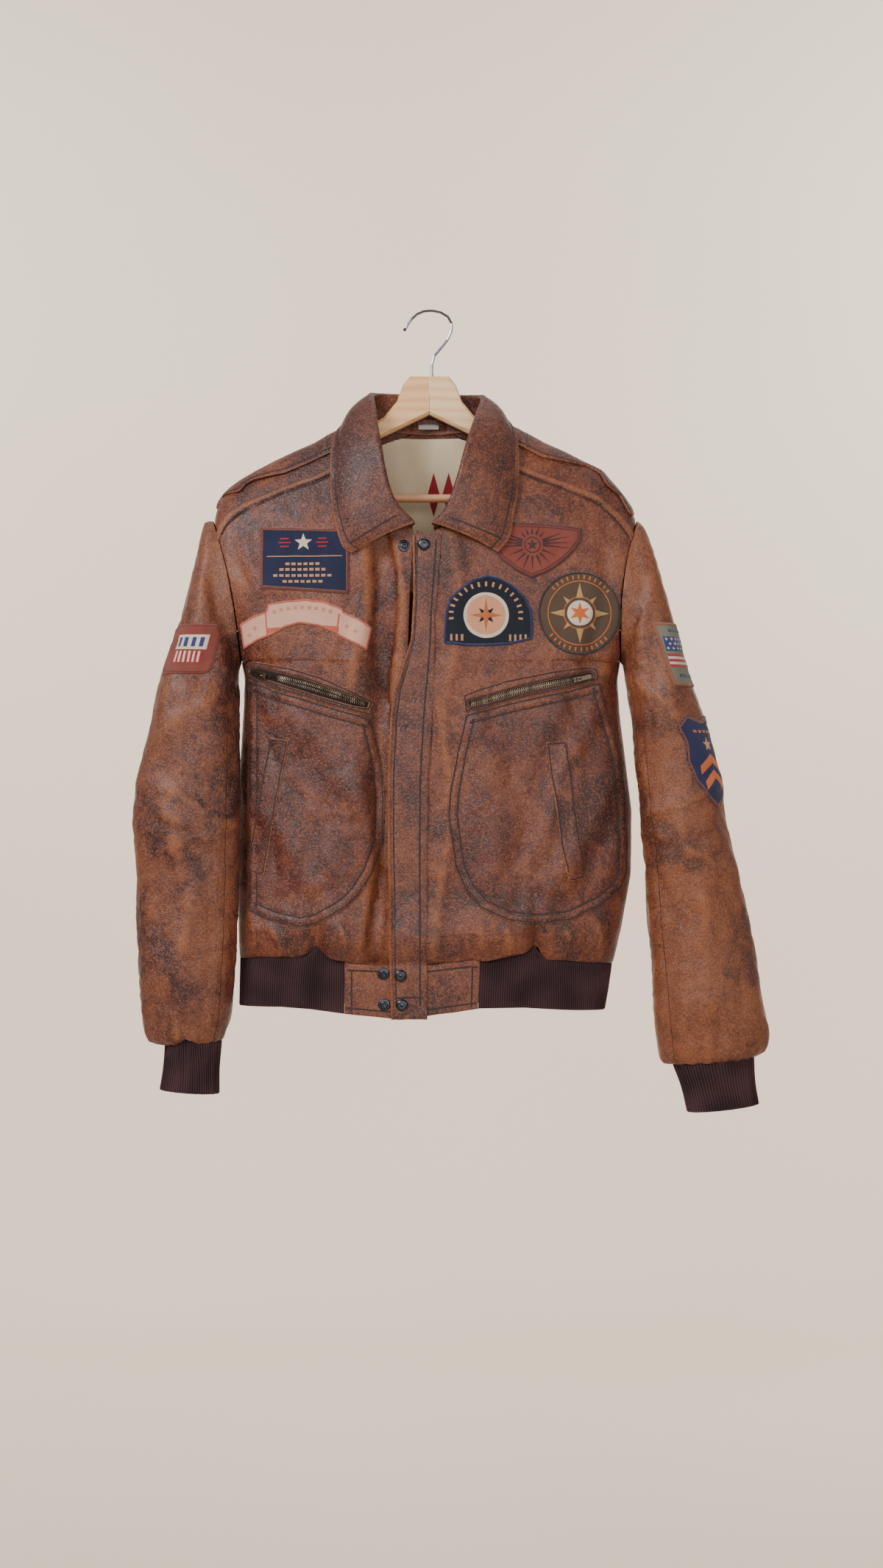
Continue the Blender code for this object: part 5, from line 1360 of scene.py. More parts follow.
def front_look(side):
    """The fine outer sheet of a front."""
    columns = []
    for share in shares(235, 5):
        top = YOKE_FRONT_LEVEL
        for _ in range(6):
            top = max(YOKE_FRONT_LEVEL, neck_level(front_point(side, share, top))) \
                + seam_level(front_point(side, share, top))
        columns.append([torso("front", front_point(side, share, level), level) for level in level_rows(top)])
    if side == "right":
        columns.reverse()
    points = np.array(columns).transpose(1, 0, 2)
    fade = edge_fade(points.shape, 7)
    relief = 1.5 * dents(points, CREASES["front_" + side])
    relief += 2.0 * crinkle(points, 46, (1, 1, 1.6), 3.0) + 1.0 * crinkle(points, 17, (1, 1, 1.3), 9.0, ridged=True)
    relief += 0.35 * crinkle(points, 7, seed=21.0)
    return Sheet(points, relief * fade, fixed=side_edges(points, side))


def side_edges(points, side=None):
    """Where the cloth meets the other face at a side seam, it faces straight out."""
    mask = np.zeros(points.shape[:2], bool)
    way = np.zeros(points.shape)
    below = points[:, 0 if side != "left" else -1, 2] < ARM_PIT_Z
    for edge, sign in ((0, -1.0), (-1, 1.0)):
        if side == ("left" if edge == 0 else "right"):
            continue
        mask[below, edge] = True
        way[below, edge] = (sign, 0, 0)
    return mask, way


def back_look():
    neck = [locate("back", x, z) for x, z in BACK_NECK]
    columns = []
    for share in shares(480, 6):
        s = math.sin((share * 2 - 1) * math.pi / 2)
        under = abs(s) < abs(neck[0][0]) or abs(s) < neck[-1][0]
        neck_here = read(neck, s) if under else 0.0
        top = max(YOKE_BACK_LEVEL, neck_here) + seam_level(s)
        columns.append([torso("back", s, level) for level in level_rows(top)])
    points = np.array(columns[::-1]).transpose(1, 0, 2)
    relief = dents(points, CREASES["back"]) + 1.6 * crinkle(points, 52, (1, 1, 1.6), 5.0)
    relief += 0.7 * crinkle(points, 18, (1, 1, 1.3), 12.0, ridged=True) + 0.35 * crinkle(points, 7, seed=31.0)
    mask = np.zeros(points.shape[:2], bool)
    way = np.zeros(points.shape)
    low = points[:, 0, 2] < ARM_PIT_Z
    for edge, sign in ((0, 1.0), (-1, -1.0)):
        mask[low, edge] = True
        way[low, edge] = (sign, 0, 0)
    return Sheet(points, relief * edge_fade(points.shape, 7), fixed=(mask, way))


def yoke_look(side):
    sign = SIGN[side]
    grid = []
    for share in shares(150, 4):
        level = mix(YOKE_BACK_LEVEL, -YOKE_FRONT_LEVEL, share)
        face = "front" if level < 0 else "back"
        start = neck_across(side, level) + NECK_GAP
        line = []
        for across in shares(190, 5):
            s = mix(start, 1, across) * sign
            line.append(torso(face, s, abs(level + seam_level(s) * (2 * share - 1)), folded=False))
        grid.append(line if sign > 0 else line[::-1])
    points = np.array(grid)
    relief = 0.35 * crinkle(points, 40, seed=2.0) + 0.25 * crinkle(points, 14, seed=5.0, ridged=True)
    return Sheet(points, relief * edge_fade(points.shape, 5))


def epaulette_look(side):
    """The strap over the shoulder: columns from the collar out, rows from its back edge to its front edge."""
    sign = SIGN[side]
    front = EPAULETTE_FRONT[side]
    first, last = abs(front[0][0]), abs(EPAULETTE_END_X[side])
    columns = []
    for share in shares(last - first, 3.5):
        x = mix(first, last, share) * sign
        s = min(x / ARM_TOP_X[side], 1.0)
        z = read(front, x)
        ridge = read(SHOULDER_RIDGE, x)
        turn = min(max((z - ARM_MIDDLE_Z) / (ridge - ARM_MIDDLE_Z), -1), 1)
        reach = math.acos(turn) * 2 / math.pi
        taper = math.sin(min(max((1 - share) / 0.06, 0.0), 1.0) * math.pi / 2) ** 0.5 * 0.12 + 0.88
        line = []
        for across in shares(60, 3.5):
            level = mix(EPAULETTE_BACK_LEVEL * taper, -reach * taper, across)
            line.append(torso("front" if level < 0 else "back", abs(s) * sign, abs(level), folded=False))
        columns.append(line)
    points = np.array(columns).transpose(1, 0, 2)
    if sign < 0:
        points = points[:, ::-1]
    out = np.abs(points[:, :, 0])
    wave = 0.5 - 0.5 * np.cos((out - 150) / 15)
    forward = np.clip((MIDDLE_Y - 12 - points[:, :, 1]) / 14, 0, 1)
    lift = forward * (0.4 + 2.2 * wave * np.clip((out - 140) / 60, 0, 1))
    return Sheet(points, lift + 0.3 * crinkle(points, 22, seed=8.0))


def sleeve_look(side):
    sign = SIGN[side]
    angles = np.radians(np.arange(0, 360, 4))
    rings = []
    for row in range(1 + len(SLEEVE_RINGS[side])):
        ring = []
        for angle in angles:
            front = angle < math.pi
            if row == 0:
                level = 2 * (angle if front else 2 * math.pi - angle) / math.pi
                reach = ARM_DEPTH["front" if front else "back"] * math.sin(level * math.pi / 2)
                ring.append((side_x(side, level) + SLEEVE_START * sign,
                             MIDDLE_Y - reach if front else MIDDLE_Y + reach,
                             ARM_MIDDLE_Z + (ARM_MIDDLE_Z - ARM_PIT_Z) * math.cos(level * math.pi / 2)))
                continue
            outer, inner, middle_y, reach = SLEEVE_RINGS[side][row - 1]
            swing = (1 + math.cos(angle)) / 2
            bend = elbow_fold(side, row, angle)
            ring.append((mix(inner[0], outer[0], swing), middle_y - (reach + bend) * math.sin(angle),
                         mix(inner[1], outer[1], swing)))
        rings.append(ring)
    coarse = np.array(rings)
    guides = padded(coarse)
    down = travelled(coarse.mean(axis=1))
    fine = []
    for share in shares(down[-1], 5):
        place = np.interp(share * down[-1], down, np.arange(len(down)))
        k = min(int(place), len(coarse) - 2)
        straight = mix(coarse[k], coarse[k + 1], place - k)
        fine.append(mix(catmull_rom(*guides[k:k + 4], place - k), straight, 0.3))
    points = np.array(fine)
    if side == "left":
        points = points[:, ::-1]
        angles = angles[::-1]
    rows = points.shape[0]
    facing_front = np.clip(np.sin(angles) * 2.2 + 0.25, 0, 1)[None, :]
    facing_back = np.clip(-np.sin(angles) * 2.2 + 0.25, 0, 1)[None, :]
    creases = CREASES["sleeve_" + side]
    mirrored = [(ax, az - 24, bx, bz - 24, w, h * 0.8) for ax, az, bx, bz, w, h in creases[:-1]] + [creases[-1]]
    relief = dents(points, creases) * facing_front + dents(points, mirrored) * facing_back
    relief += 1.7 * crinkle(points, 38, (1, 1, 1.5), 4.0) + 1.0 * crinkle(points, 15, (1.6, 1, 1), 14.0, ridged=True)
    relief += 0.4 * crinkle(points, 7, seed=41.0)
    fade = np.clip(np.minimum(np.arange(rows), np.arange(rows)[::-1]) / 8, 0, 1)[:, None] ** 0.7
    gather = np.clip((np.arange(rows) - (rows - 14)) / 10, 0, 1)[:, None] * np.cos(angles * 17 + 1.0)[None, :] * 0.7
    if side == "right":
        near_hem = np.clip((np.arange(rows) - (rows - 7)) / 6, 0, 1)[:, None] ** 1.5
        lifted = np.exp(-((points[:, :, 0] + 282) / 8) ** 2) * (np.sin(angles) > 0)[None, :] * near_hem
        points[:, :, 2] += 13.0 * lifted
    return Sheet(points, (relief * fade) + gather, ring=True), angles


def sleeve_pieces(side, leathers):
    sheet, angles = sleeve_look(side)
    steps = len(angles)
    low, high = (round(angle / 4) for angle in SEAM_ANGLES)
    if side == "left":
        low, high = steps - 1 - high, steps - 1 - low
    pieces = {"sleeve_under_": range(low, high + 1), "sleeve_top_": range(high, low + steps + 1)}
    for name, columns in pieces.items():
        index = [c % steps for c in columns]
        part = Sheet(sheet.points[:, index], 0.0)
        part.outward = sheet.outward[:, index].copy()
        part.wear_and_painted_light = sheet.wear_and_painted_light[:, index].copy()
        for end, neighbour in ((0, 1), (-1, -2)):
            inward = part.points[:, neighbour] - part.points[:, end]
            size = np.linalg.norm(inward, axis=1, keepdims=True)
            part.points[:, end] += inward / np.maximum(size, 1e-6) * 0.35
        clothe(name + side, part, leathers["sleeve_" + side], rests_on=["yoke_" + side], roll=0.5,
               worn_edges=0.35)
        if name == "sleeve_top_":
            stitch("sleeves", part.points[:, 2 if side == "right" else -3],
                   part.outward[:, 2 if side == "right" else -3])
    return sheet


def rib_profile(count, per_rib, ring):
    """Rise of each column of a knit with narrow ribs."""
    steps = count * per_rib + (0 if ring else 1)
    turn = np.arange(steps) / per_rib * 2 * math.pi
    return 0.5 + 0.5 * np.cos(turn)


def knit_piece(name, lines, ribs, per_rib, ring, material, high=0.9):
    """A knit wall from rows of points that run round it."""
    steps = ribs * per_rib + (0 if ring else 1)
    grid = np.array([along_line(np.array(line), steps, closed=ring) for line in lines])
    outward = normals(grid, ring)
    rib = rib_profile(ribs, per_rib, ring)[None, :]
    rows = grid.shape[0]
    soft = crinkle(grid[:, ::per_rib], 30, seed=6.0)
    soft = np.repeat(soft, per_rib, axis=1)[:, :grid.shape[1]]
    if soft.shape[1] < grid.shape[1]:
        soft = np.pad(soft, ((0, 0), (0, grid.shape[1] - soft.shape[1])), mode="edge")
    relief = -high * (1 - rib) + soft * 0.8 * edge_fade((rows, 3), 2)[:, 1:2]
    sheet = Sheet(grid, 0.0, ring)
    sheet.points = grid + outward * relief[..., None]
    sheet.outward = outward
    # High on the rib tops and low in the grooves, so the knit is painted lighter on top as highlight and darker
    # between as shade.
    sheet.wear_and_painted_light = np.clip(rib * 0.5 + 0.35 * soft, 0, 1) + np.zeros(grid.shape[:2])
    clothe(name, sheet, material, thickness=KNIT + 0.2, held="gathered", rests_on=["back"], roll=0.3,
           worn_edges=0.3)


def cuff_look(side, sleeve_end, material):
    outer, inner, middle_y, reach = CUFF_ENDS[side]
    last_outer, last_inner, last_y, last_reach = SLEEVE_RINGS[side][-1]
    top = sleeve_end + np.array([0, 0, -0.5])
    bottom = []
    for x, y, _ in top:
        swing = (x - last_inner[0]) / (last_outer[0] - last_inner[0])
        bottom.append((mix(inner[0], outer[0], swing), middle_y + (y - last_y) * reach / last_reach,
                       mix(inner[1], outer[1], swing)))
    bottom = np.array(bottom)
    lines = []
    for share in (0, 0.02, 0.05, 0.15, 0.3, 0.45, 0.6, 0.75, 0.88, 0.95, 0.985, 1):
        line = mix(top, bottom, share)
        centre = line.mean(axis=0)
        lines.append(centre + (line - centre) * (1 - 0.035 * math.sin(share * math.pi)))
    knit_piece("cuff_" + side, lines, 66, 6, True, material, high=1.2)


def waist_look(material):
    front_right = np.linspace(band_s(TAB_RIGHT_X[0] - SEAM_GAP), -1, 60)
    back = np.linspace(-1, 1, 140)
    front_left = np.linspace(1, band_s(TAB_LEFT_X[1] + SEAM_GAP), 60)
    path = [("front", s) for s in front_right] + [("back", s) for s in back[1:-1]] + [("front", s) for s in front_left]
    top = np.array([band_point(face, s, 0) for face, s in path][::-1])
    inward = np.stack([0 * top[:, 1], np.sign(MIDDLE_Y - top[:, 1]), 0 * top[:, 1]], axis=1)
    lines = [top + inward * 3.2 + (0, 0, 9.0), top + inward * 3.0 + (0, 0, 4.0), top + inward * 1.6 + (0, 0, 1.2)]
    for share in (0.02, 0.06, 0.12, 0.25, 0.4, 0.55, 0.7, 0.85, 0.95, 0.985, 1):
        lines.append([band_point(face, s, share) for face, s in path][::-1])
    knit_piece("waist_rib", lines, 300, 6, False, material, high=1.2)


def tab_look(side, x_range, material):
    places = mix(x_range[0], x_range[1], shares(x_range[1] - x_range[0], 4))
    hem = [torso("front", band_s(x), HEM_LEVEL) for x in places]
    first = [band_point("front", band_s(x), 0.004, lift=0.4) for x in places]
    rows = [[(x, y + 2.8, z + 5.0) for x, y, z in hem], [(x, y + 2.4, z + 1.6) for x, y, z in hem]]
    rows.append([(b[0], mix(a[1] + 2.0, b[1], 0.5), b[2] + 0.2) for a, b in zip(hem, first)])
    for share in shares(64, 4)[1:]:
        rows.append([band_point("front", band_s(x), share, lift=0.4) for x in places])
    points = np.array(rows)
    sheet = Sheet(points, (0.7 * crinkle(points, 18, seed=7.0)) * edge_fade(points.shape, 4))
    clothe("waist_tab_" + side, sheet, material, rests_on=["front_" + side], worn_edges=0.9)
    rows, columns = points.shape[:2]
    for row in (7, rows - 6):
        stitch("body", sheet.points[row, 3:-3], sheet.outward[row, 3:-3])
    column = 5 if side == "right" else columns - 6
    stitch("body", sheet.points[7:-4, column], sheet.outward[7:-4, column])
    return sheet


def flap_look(material):
    levels = [FLAP_TOP_LEVEL + (1 - FLAP_TOP_LEVEL) * t for t in (0, 0.01, 0.03, 0.06)]
    levels += list(np.linspace(FLAP_TOP_LEVEL, 1, 10)[1:-1]) + list(np.linspace(1, HEM_LEVEL, 104))
    rows = []
    xs = shares(48, 3.2)
    for level in levels:
        z = height("front", 0.0, level)
        line = mix(read(FLAP_LEFT, z), read(FLAP_RIGHT, z), xs)
        row = []
        for x in line:
            row.append(torso("front", s_at(x, level), level, folded=False))
        rows.append(row)
    hem = rows[-1][0][2]
    for t in (0.06, 0.15, 0.3, 0.45, 0.6, 0.75, 0.9, 0.95, 0.98, 1.0):
        z = mix(hem, FLAP_BOTTOM, t)
        line = mix(read(FLAP_LEFT, z), read(FLAP_RIGHT, z), xs)
        y = MIDDLE_Y - BAND_DEPTH["front"] - 1.4
        rows.append([(x, mix(rows[len(levels) - 1][k][1], y, ease(t * 3)), z) for k, x in enumerate(line)])
    points = np.array(rows)
    shape = points.shape[:2]
    across = np.linspace(0, 1, shape[1])[None, :]
    relief = 1.3 * crinkle(points, 30, (0.8, 1, 2.2), 11.0) + 0.6 * crinkle(points, 11, (1, 1, 1.6), 3.0, ridged=True)
    relief = relief * edge_fade(shape, 5)
    relief = relief + 1.0 * np.exp(-((across - 0.05) / 0.07) ** 2) - 0.9 * np.exp(-((across - 0.19) / 0.035) ** 2)
    seam = np.arange(shape[0])[:, None] - (len(levels) - 1)
    relief = relief - 1.1 * np.exp(-(seam / 0.7) ** 2) + 0.7 * np.exp(-((seam - 2.0) / 1.0) ** 2)
    sheet = Sheet(points, relief)
    sheet.wear_and_painted_light = np.maximum(sheet.wear_and_painted_light, 1.0 * np.exp(-((across * 46 - 1.6) / 2.4) ** 2))
    clothe("front_flap", sheet, material, lift=FLAP_LIFT[1], rests_on=["front_right", "front_left"],
           worn_edges=1.0, thickness=FLAP_LIFT[1] - FLAP_LIFT[0])
    raised = sheet.points + sheet.outward * FLAP_LIFT[1]
    for column in (int(shape[1] * 0.24), shape[1] - 6):
        stitch("body", raised[4:-4, column], sheet.outward[4:-4, column])
    stitch("body", raised[-6, 4:-4], sheet.outward[-6, 4:-4])
    return Sheet(raised, 0.0)


COLLAR_STATIONS = 151


def collar_look(material):
    grid = []
    for seam, roll, edge in zip(*collar_lines()):
        up = roll - (seam + edge) / 2
        up /= np.linalg.norm(up)
        inward = seam - edge
        inward -= up * inward.dot(up)
        inward /= np.linalg.norm(inward)
        stand_top = roll - up * ROLL_RADIUS + inward * ROLL_RADIUS
        fall_top = roll - up * ROLL_RADIUS - inward * ROLL_RADIUS
        start = seam + (stand_top - seam) / np.linalg.norm(stand_top - seam) * 2.4
        rise = (stand_top - seam) / np.linalg.norm(stand_top - seam)
        stand = [seam - rise * 3.6 + inward * 2.4, seam - rise * 2.6 + inward * 2.4, seam + rise * 0.2 + inward * 1.9]
        stand += [mix(start, stand_top, t) - inward * 0.5 * math.sin(t * math.pi) for t in (0, 0.08, 0.25, 0.5, 0.75)]
        turn = []
        for angle in (0, 30, 60, 90, 120, 150, 180):
            a = math.radians(angle)
            turn.append(roll - up * ROLL_RADIUS * (1 - math.sin(a)) + inward * ROLL_RADIUS * math.cos(a))
        fall = []
        for share in list(np.linspace(0, 1, 17)[1:-1]) + [0.965, 0.985, 1.0]:
            point = mix(fall_top, edge, share) - inward * 6 * math.sin(share * math.pi)
            near_arm = abs(point[0]) > 60 and point[2] > -205
            fall.append(clear_of_torso(point, COLLAR_CLEARANCE + (3.2 if near_arm else 0)))
        grid.append(stand + turn + fall)
    points = np.array(grid).transpose(1, 0, 2)[::-1]
    shape = points.shape[:2]
    relief = (0.9 * crinkle(points, 26, seed=15.0) + 0.5 * crinkle(points, 10, seed=2.5, ridged=True)) \
        * edge_fade(shape, 5)
    rows = np.arange(shape[0])[:, None]
    relief = relief - np.where(rows > 22, 0, relief * 0.4) - 0.5 * np.exp(-((rows - 4.2) / 0.8) ** 2)
    sheet = Sheet(points, relief)
    sheet.wear_and_painted_light[:3] = np.maximum(sheet.wear_and_painted_light[:3], np.array((1.0, 0.95, 0.7))[:, None])
    half = COLLAR_THICKNESS / 2
    clothe("collar", sheet, material, thickness=COLLAR_THICKNESS, lift=half, held="folded",
           rests_on=["yoke_right", "yoke_left"], worn_edges=1.2, roll=0.9)
    raised = sheet.points + sheet.outward * half
    stitch("collar", raised[4], sheet.outward[4])
    for column in (6, shape[1] - 7):
        stitch("collar", raised[4:18, column], sheet.outward[4:18, column])
    return sheet


def pocket_relief(away, flat):
    """Two sewn lines inside a pocket's edge, with the leather swelling between and within them."""
    x, z = flat[:, 0], flat[:, 1]
    first = -0.5 * np.exp(-((away - POCKET_SEAMS[0]) / 1.0) ** 2)
    second = -0.7 * np.exp(-((away - POCKET_SEAMS[1]) / 1.3) ** 2)
    ridge = 0.7 * np.exp(-((away - POCKET_RIDGE) / 2.6) ** 2)
    within = np.clip((away - 13) / 26, 0, 1)
    swell = 1.6 * np.sin(x / 17 + z / 60) * np.cos(z / 33 - x / 80) + 0.8 * np.sin(x / 7.5 - z / 19 + 1.3)
    return first + second + ridge + within * (1.0 + swell)


def strip_relief(away, _flat):
    """A sewn line inside an edge."""
    return -0.45 * np.exp(-((away - 2.0) / 0.8) ** 2) + 0.3 * np.exp(-((away - 4.4) / 1.4) ** 2)


def cord_relief(away, _flat):
    """A rounded raised cord, as wide as the strip that carries it."""
    return 0.9 * np.sqrt(np.clip(1 - ((away - 1.4) / 1.4) ** 2, 0, 1))


def motif(name, view, shapes, layer, material, slot, step=2.0, edge=0.35, relief=None):
    """Several flat shapes of one colour, made as one piece; each shape is an outline with its holes."""
    points_all, faces_all, offset = [], [], 0
    low, high = layer
    for outlines in shapes:
        flat, faces, away = filled([divided(o) for o in outlines], step, edge)
        points, outward = view.cast(flat, gap=0.9)
        top = low + (high - low) * np.clip(0.75 + 0.25 * away / edge, 0, 1)
        if relief is not None:
            top = top + relief(away, flat)
        points_all += [points + outward * top[:, None], points + outward * low]
        faces_all += [tuple(int(i) + offset for i in f) for f in closed_faces(faces, len(points))]
        offset += 2 * len(points)
    piece = mesh_object("trim_" + name, np.concatenate(points_all), faces_all, material)
    face_outwards(piece)


def star(x, z, outer, inner, points=5, turn=90.0):
    corners = [(inner if k % 2 else outer, math.radians(turn + 180 * k / points)) for k in range(2 * points)]
    return [(x + reach * math.cos(a), z + reach * math.sin(a)) for reach, a in corners]


def bar(x, z, width, tall, turn=0.0):
    c, s = math.cos(math.radians(turn)), math.sin(math.radians(turn))
    return [(x + u * c - v * s, z + u * s + v * c) for u, v in
            ((-width / 2, -tall / 2), (width / 2, -tall / 2), (width / 2, tall / 2), (-width / 2, tall / 2))]


def wedge(x, z, near, far, turn, half):
    """A pointed ray from a centre."""
    a = math.radians(turn)
    c, s = math.cos(a), math.sin(a)
    return [(x + u * c - v * s, z + u * s + v * c) for u, v in ((near, -half), (far, 0), (near, half))]


def border(outline, wide, start=0.0):
    outer = inset(outline, start) if start else outline
    return [outer, inset(outer, wide)]


def ring(centre, *circles):
    return [circle(centre, radius, steps) for radius, steps in circles]


def tick(centre, radius, angle, wide, tall, stretch=1.0):
    """A bar at an angle round a centre, lying across the circle."""
    a = math.radians(angle)
    return bar(centre[0] + radius * math.cos(a) * stretch, centre[1] + radius * math.sin(a), wide, tall, angle)


def alone(shapes):
    """Outlines without holes, each a shape of its own."""
    return [[shape] for shape in shapes]


BASE = (0.3, 1.5)
MOTIF = (-0.15, 0.35)
OVER = (0.1, 0.7)


RAISED = (-0.1, 0.6)
CORD = (-0.2, 0.0)


def patch(name, outline, view, looks, look, rests_on="front_right", worn_edge=0.0):
    """Sew a patch on, and return what lays the parts of its design on it."""
    sewn_on(name, view, [outline], BASE, looks[look], rests_on, worn_edge=worn_edge)
    top = on_top(name, view)

    def trim(part, shapes, colour, kind, layer=MOTIF, **options):
        motif(part, top, shapes, layer, looks[colour], kind, **options)
    return trim


def chest_patches(view, looks):
    """The patches on the fronts; returns the outlines that are sewn round."""
    panel = softened(PATCH_PANEL, 2.4)
    trim = patch("patch_chest_panel", panel, view, looks, "navy")
    trim("panel_edge", [border(panel, 3.4)], "brick_edge", "patch_brick", RAISED)
    rows = []
    for z, wide in ((-306, 42), (-312.5, 56), (-319.5, 76), (-326.5, 52)):
        count = int(wide / 7)
        rows += [bar(-147 + (k - (count - 1) / 2) * 7, z, 4.8, 3.0) for k in range(count)]
    trim("panel_bars", alone([bar(-145, -297, 88, 1.1)] + rows), "tan", "patch_pink")
    trim("panel_star", alone([star(-146, -281, 10.5, 4.3)]), "cream", "label")
    trim("panel_stripes", alone(bar(-146 + d, z, wide, 1.6) for z, wide in ((-281, 14), (-276.5, 10), (-285.5, 10))
                                for d in (-22, 22)), "red", "patch_brick")

    scroll = softened(PATCH_SCROLL, 1.2)
    trim = patch("patch_chest_scroll", scroll, view, looks, "pink")
    trim("scroll_edge", [border(scroll, 2.1)], "scroll_edge", "patch_brick", (-0.1, 0.5), step=1.4)
    trim("scroll_folds", alone([
        bar(-189, -375, 1.6, 27, 5), bar(-106, -377, 1.6, 26, -8), [(-188, -387.5), (-170, -379.5), (-188, -380.5)],
        [(-105, -386), (-105, -379), (-125, -377.5)]]), "scroll_edge", "patch_brick")
    marks = []
    for k in range(9):
        x = -180 + k * 8.2
        marks.append(star(x, -364.5 + 8.0 * (1 - ((x + 147) / 42) ** 2), 3.2, 1.6, 4, 45))
    marks += [star(x, z, 3.4, 1.5, 4, 0) for x, z in ((-203, -380), (-209, -388), (-96, -379), (-85, -385))]
    trim("scroll_marks", alone(marks), "tan", "patch_pink", step=1.6)

    wing = softened(PATCH_WING, 1.5)
    trim = patch("patch_wing", wing, view, looks, "brick", worn_edge=0.2)
    trim("wing_edge", [border(wing, 1.3, 0.2), border(wing, 0.8, 4.2)], "plum", "knit", (-0.1, 0.45), step=1.4)
    rays = [wedge(120, -283, 12, 46 - 10 * abs(math.cos(math.radians(a))) if 20 < a < 160 else 44, a, 1.3)
            for a in (-6, 3, 12, 21, 159, 168, 177, 186)]
    rays += [wedge(120, -283, 12, 21, a, 1.5) for a in (45, 68, 90, 112, 135)]
    rays += [wedge(120, -285, 12, 30, a, 1.3) for a in (-22, -45, -67, -90, -113, -135, -158)]
    trim("wing_rays", alone(rays) + [ring((120, -284), (9.5, 32), (8.3, 32))], "plum", "knit", step=1.6)
    trim("wing_star", alone([star(120, -284, 6.8, 2.9)]), "plum", "knit", step=1.6)

    arch = softened(PATCH_ARCH, 2.0)
    trim = patch("patch_arch", arch, view, looks, "midnight")
    trim("arch_edge", [border(arch, 3.0)], "navy_edge", "patch_navy", CORD, relief=cord_relief, step=1.3)
    centre = (66.0, -366.0)
    trim("arch_ring", [ring(centre, (26.5, 64), (22.5, 64))], "cream", "label", RAISED, step=1.6)
    trim("arch_disc", alone([circle(centre, 22.4, 56)]), "peach", "patch_pink")
    trim("arch_rose", alone([star(*centre, 19, 4.2, 4, 90)]), "rust", "patch_brick", OVER, step=1.6)
    trim("arch_rose_low", alone([star(*centre, 12, 4.4, 4, 45)]), "midnight", "patch_navy", (0.1, 0.5), step=1.6)
    ticks = [tick(centre, 36, angle, 5.6, 2.4, stretch=1.12) for angle in range(-6, 187, 12)]
    ticks += [bar(x, -392, 2.4, 7.5) for x in (26, 32, 38, 94, 100, 106, 112)]
    trim("arch_ticks", alone(ticks), "tan", "patch_pink", step=1.6)

    middle, radius = PATCH_DISC
    trim = patch("patch_disc", circle(middle, radius, 120), view, looks, "brown")
    trim("disc_edge", [ring(middle, (radius, 120), (radius - 2.9, 110))], "umber", "patch_brown", CORD,
         relief=cord_relief, step=1.3)
    trim("disc_ring", [ring(middle, (37.6, 90), (36.3, 90)), ring(middle, (19.0, 60), (17.9, 60))], "rust",
         "patch_brick", step=1.4)
    trim("disc_rays", alone(wedge(*middle, 17.5, 27 if a % 90 else 35, a, 2.6 if a % 90 else 4.2)
                            for a in range(0, 360, 45)), "gold", "patch_brown", step=1.6)
    trim("disc_heart", alone([circle(middle, 14.6, 48)]), "cream", "label", RAISED)
    trim("disc_star", alone([star(*middle, 12.4, 5.2, 6, 90)]), "orange", "patch_brick", (0.5, 1.0), step=1.5)
    trim("disc_ticks", alone(tick(middle, 42, a, 4.6, 2.0) for a in (*range(38, 146, 9), *range(218, 326, 9))),
         "rust", "patch_brick", step=1.6)
    return panel, wing


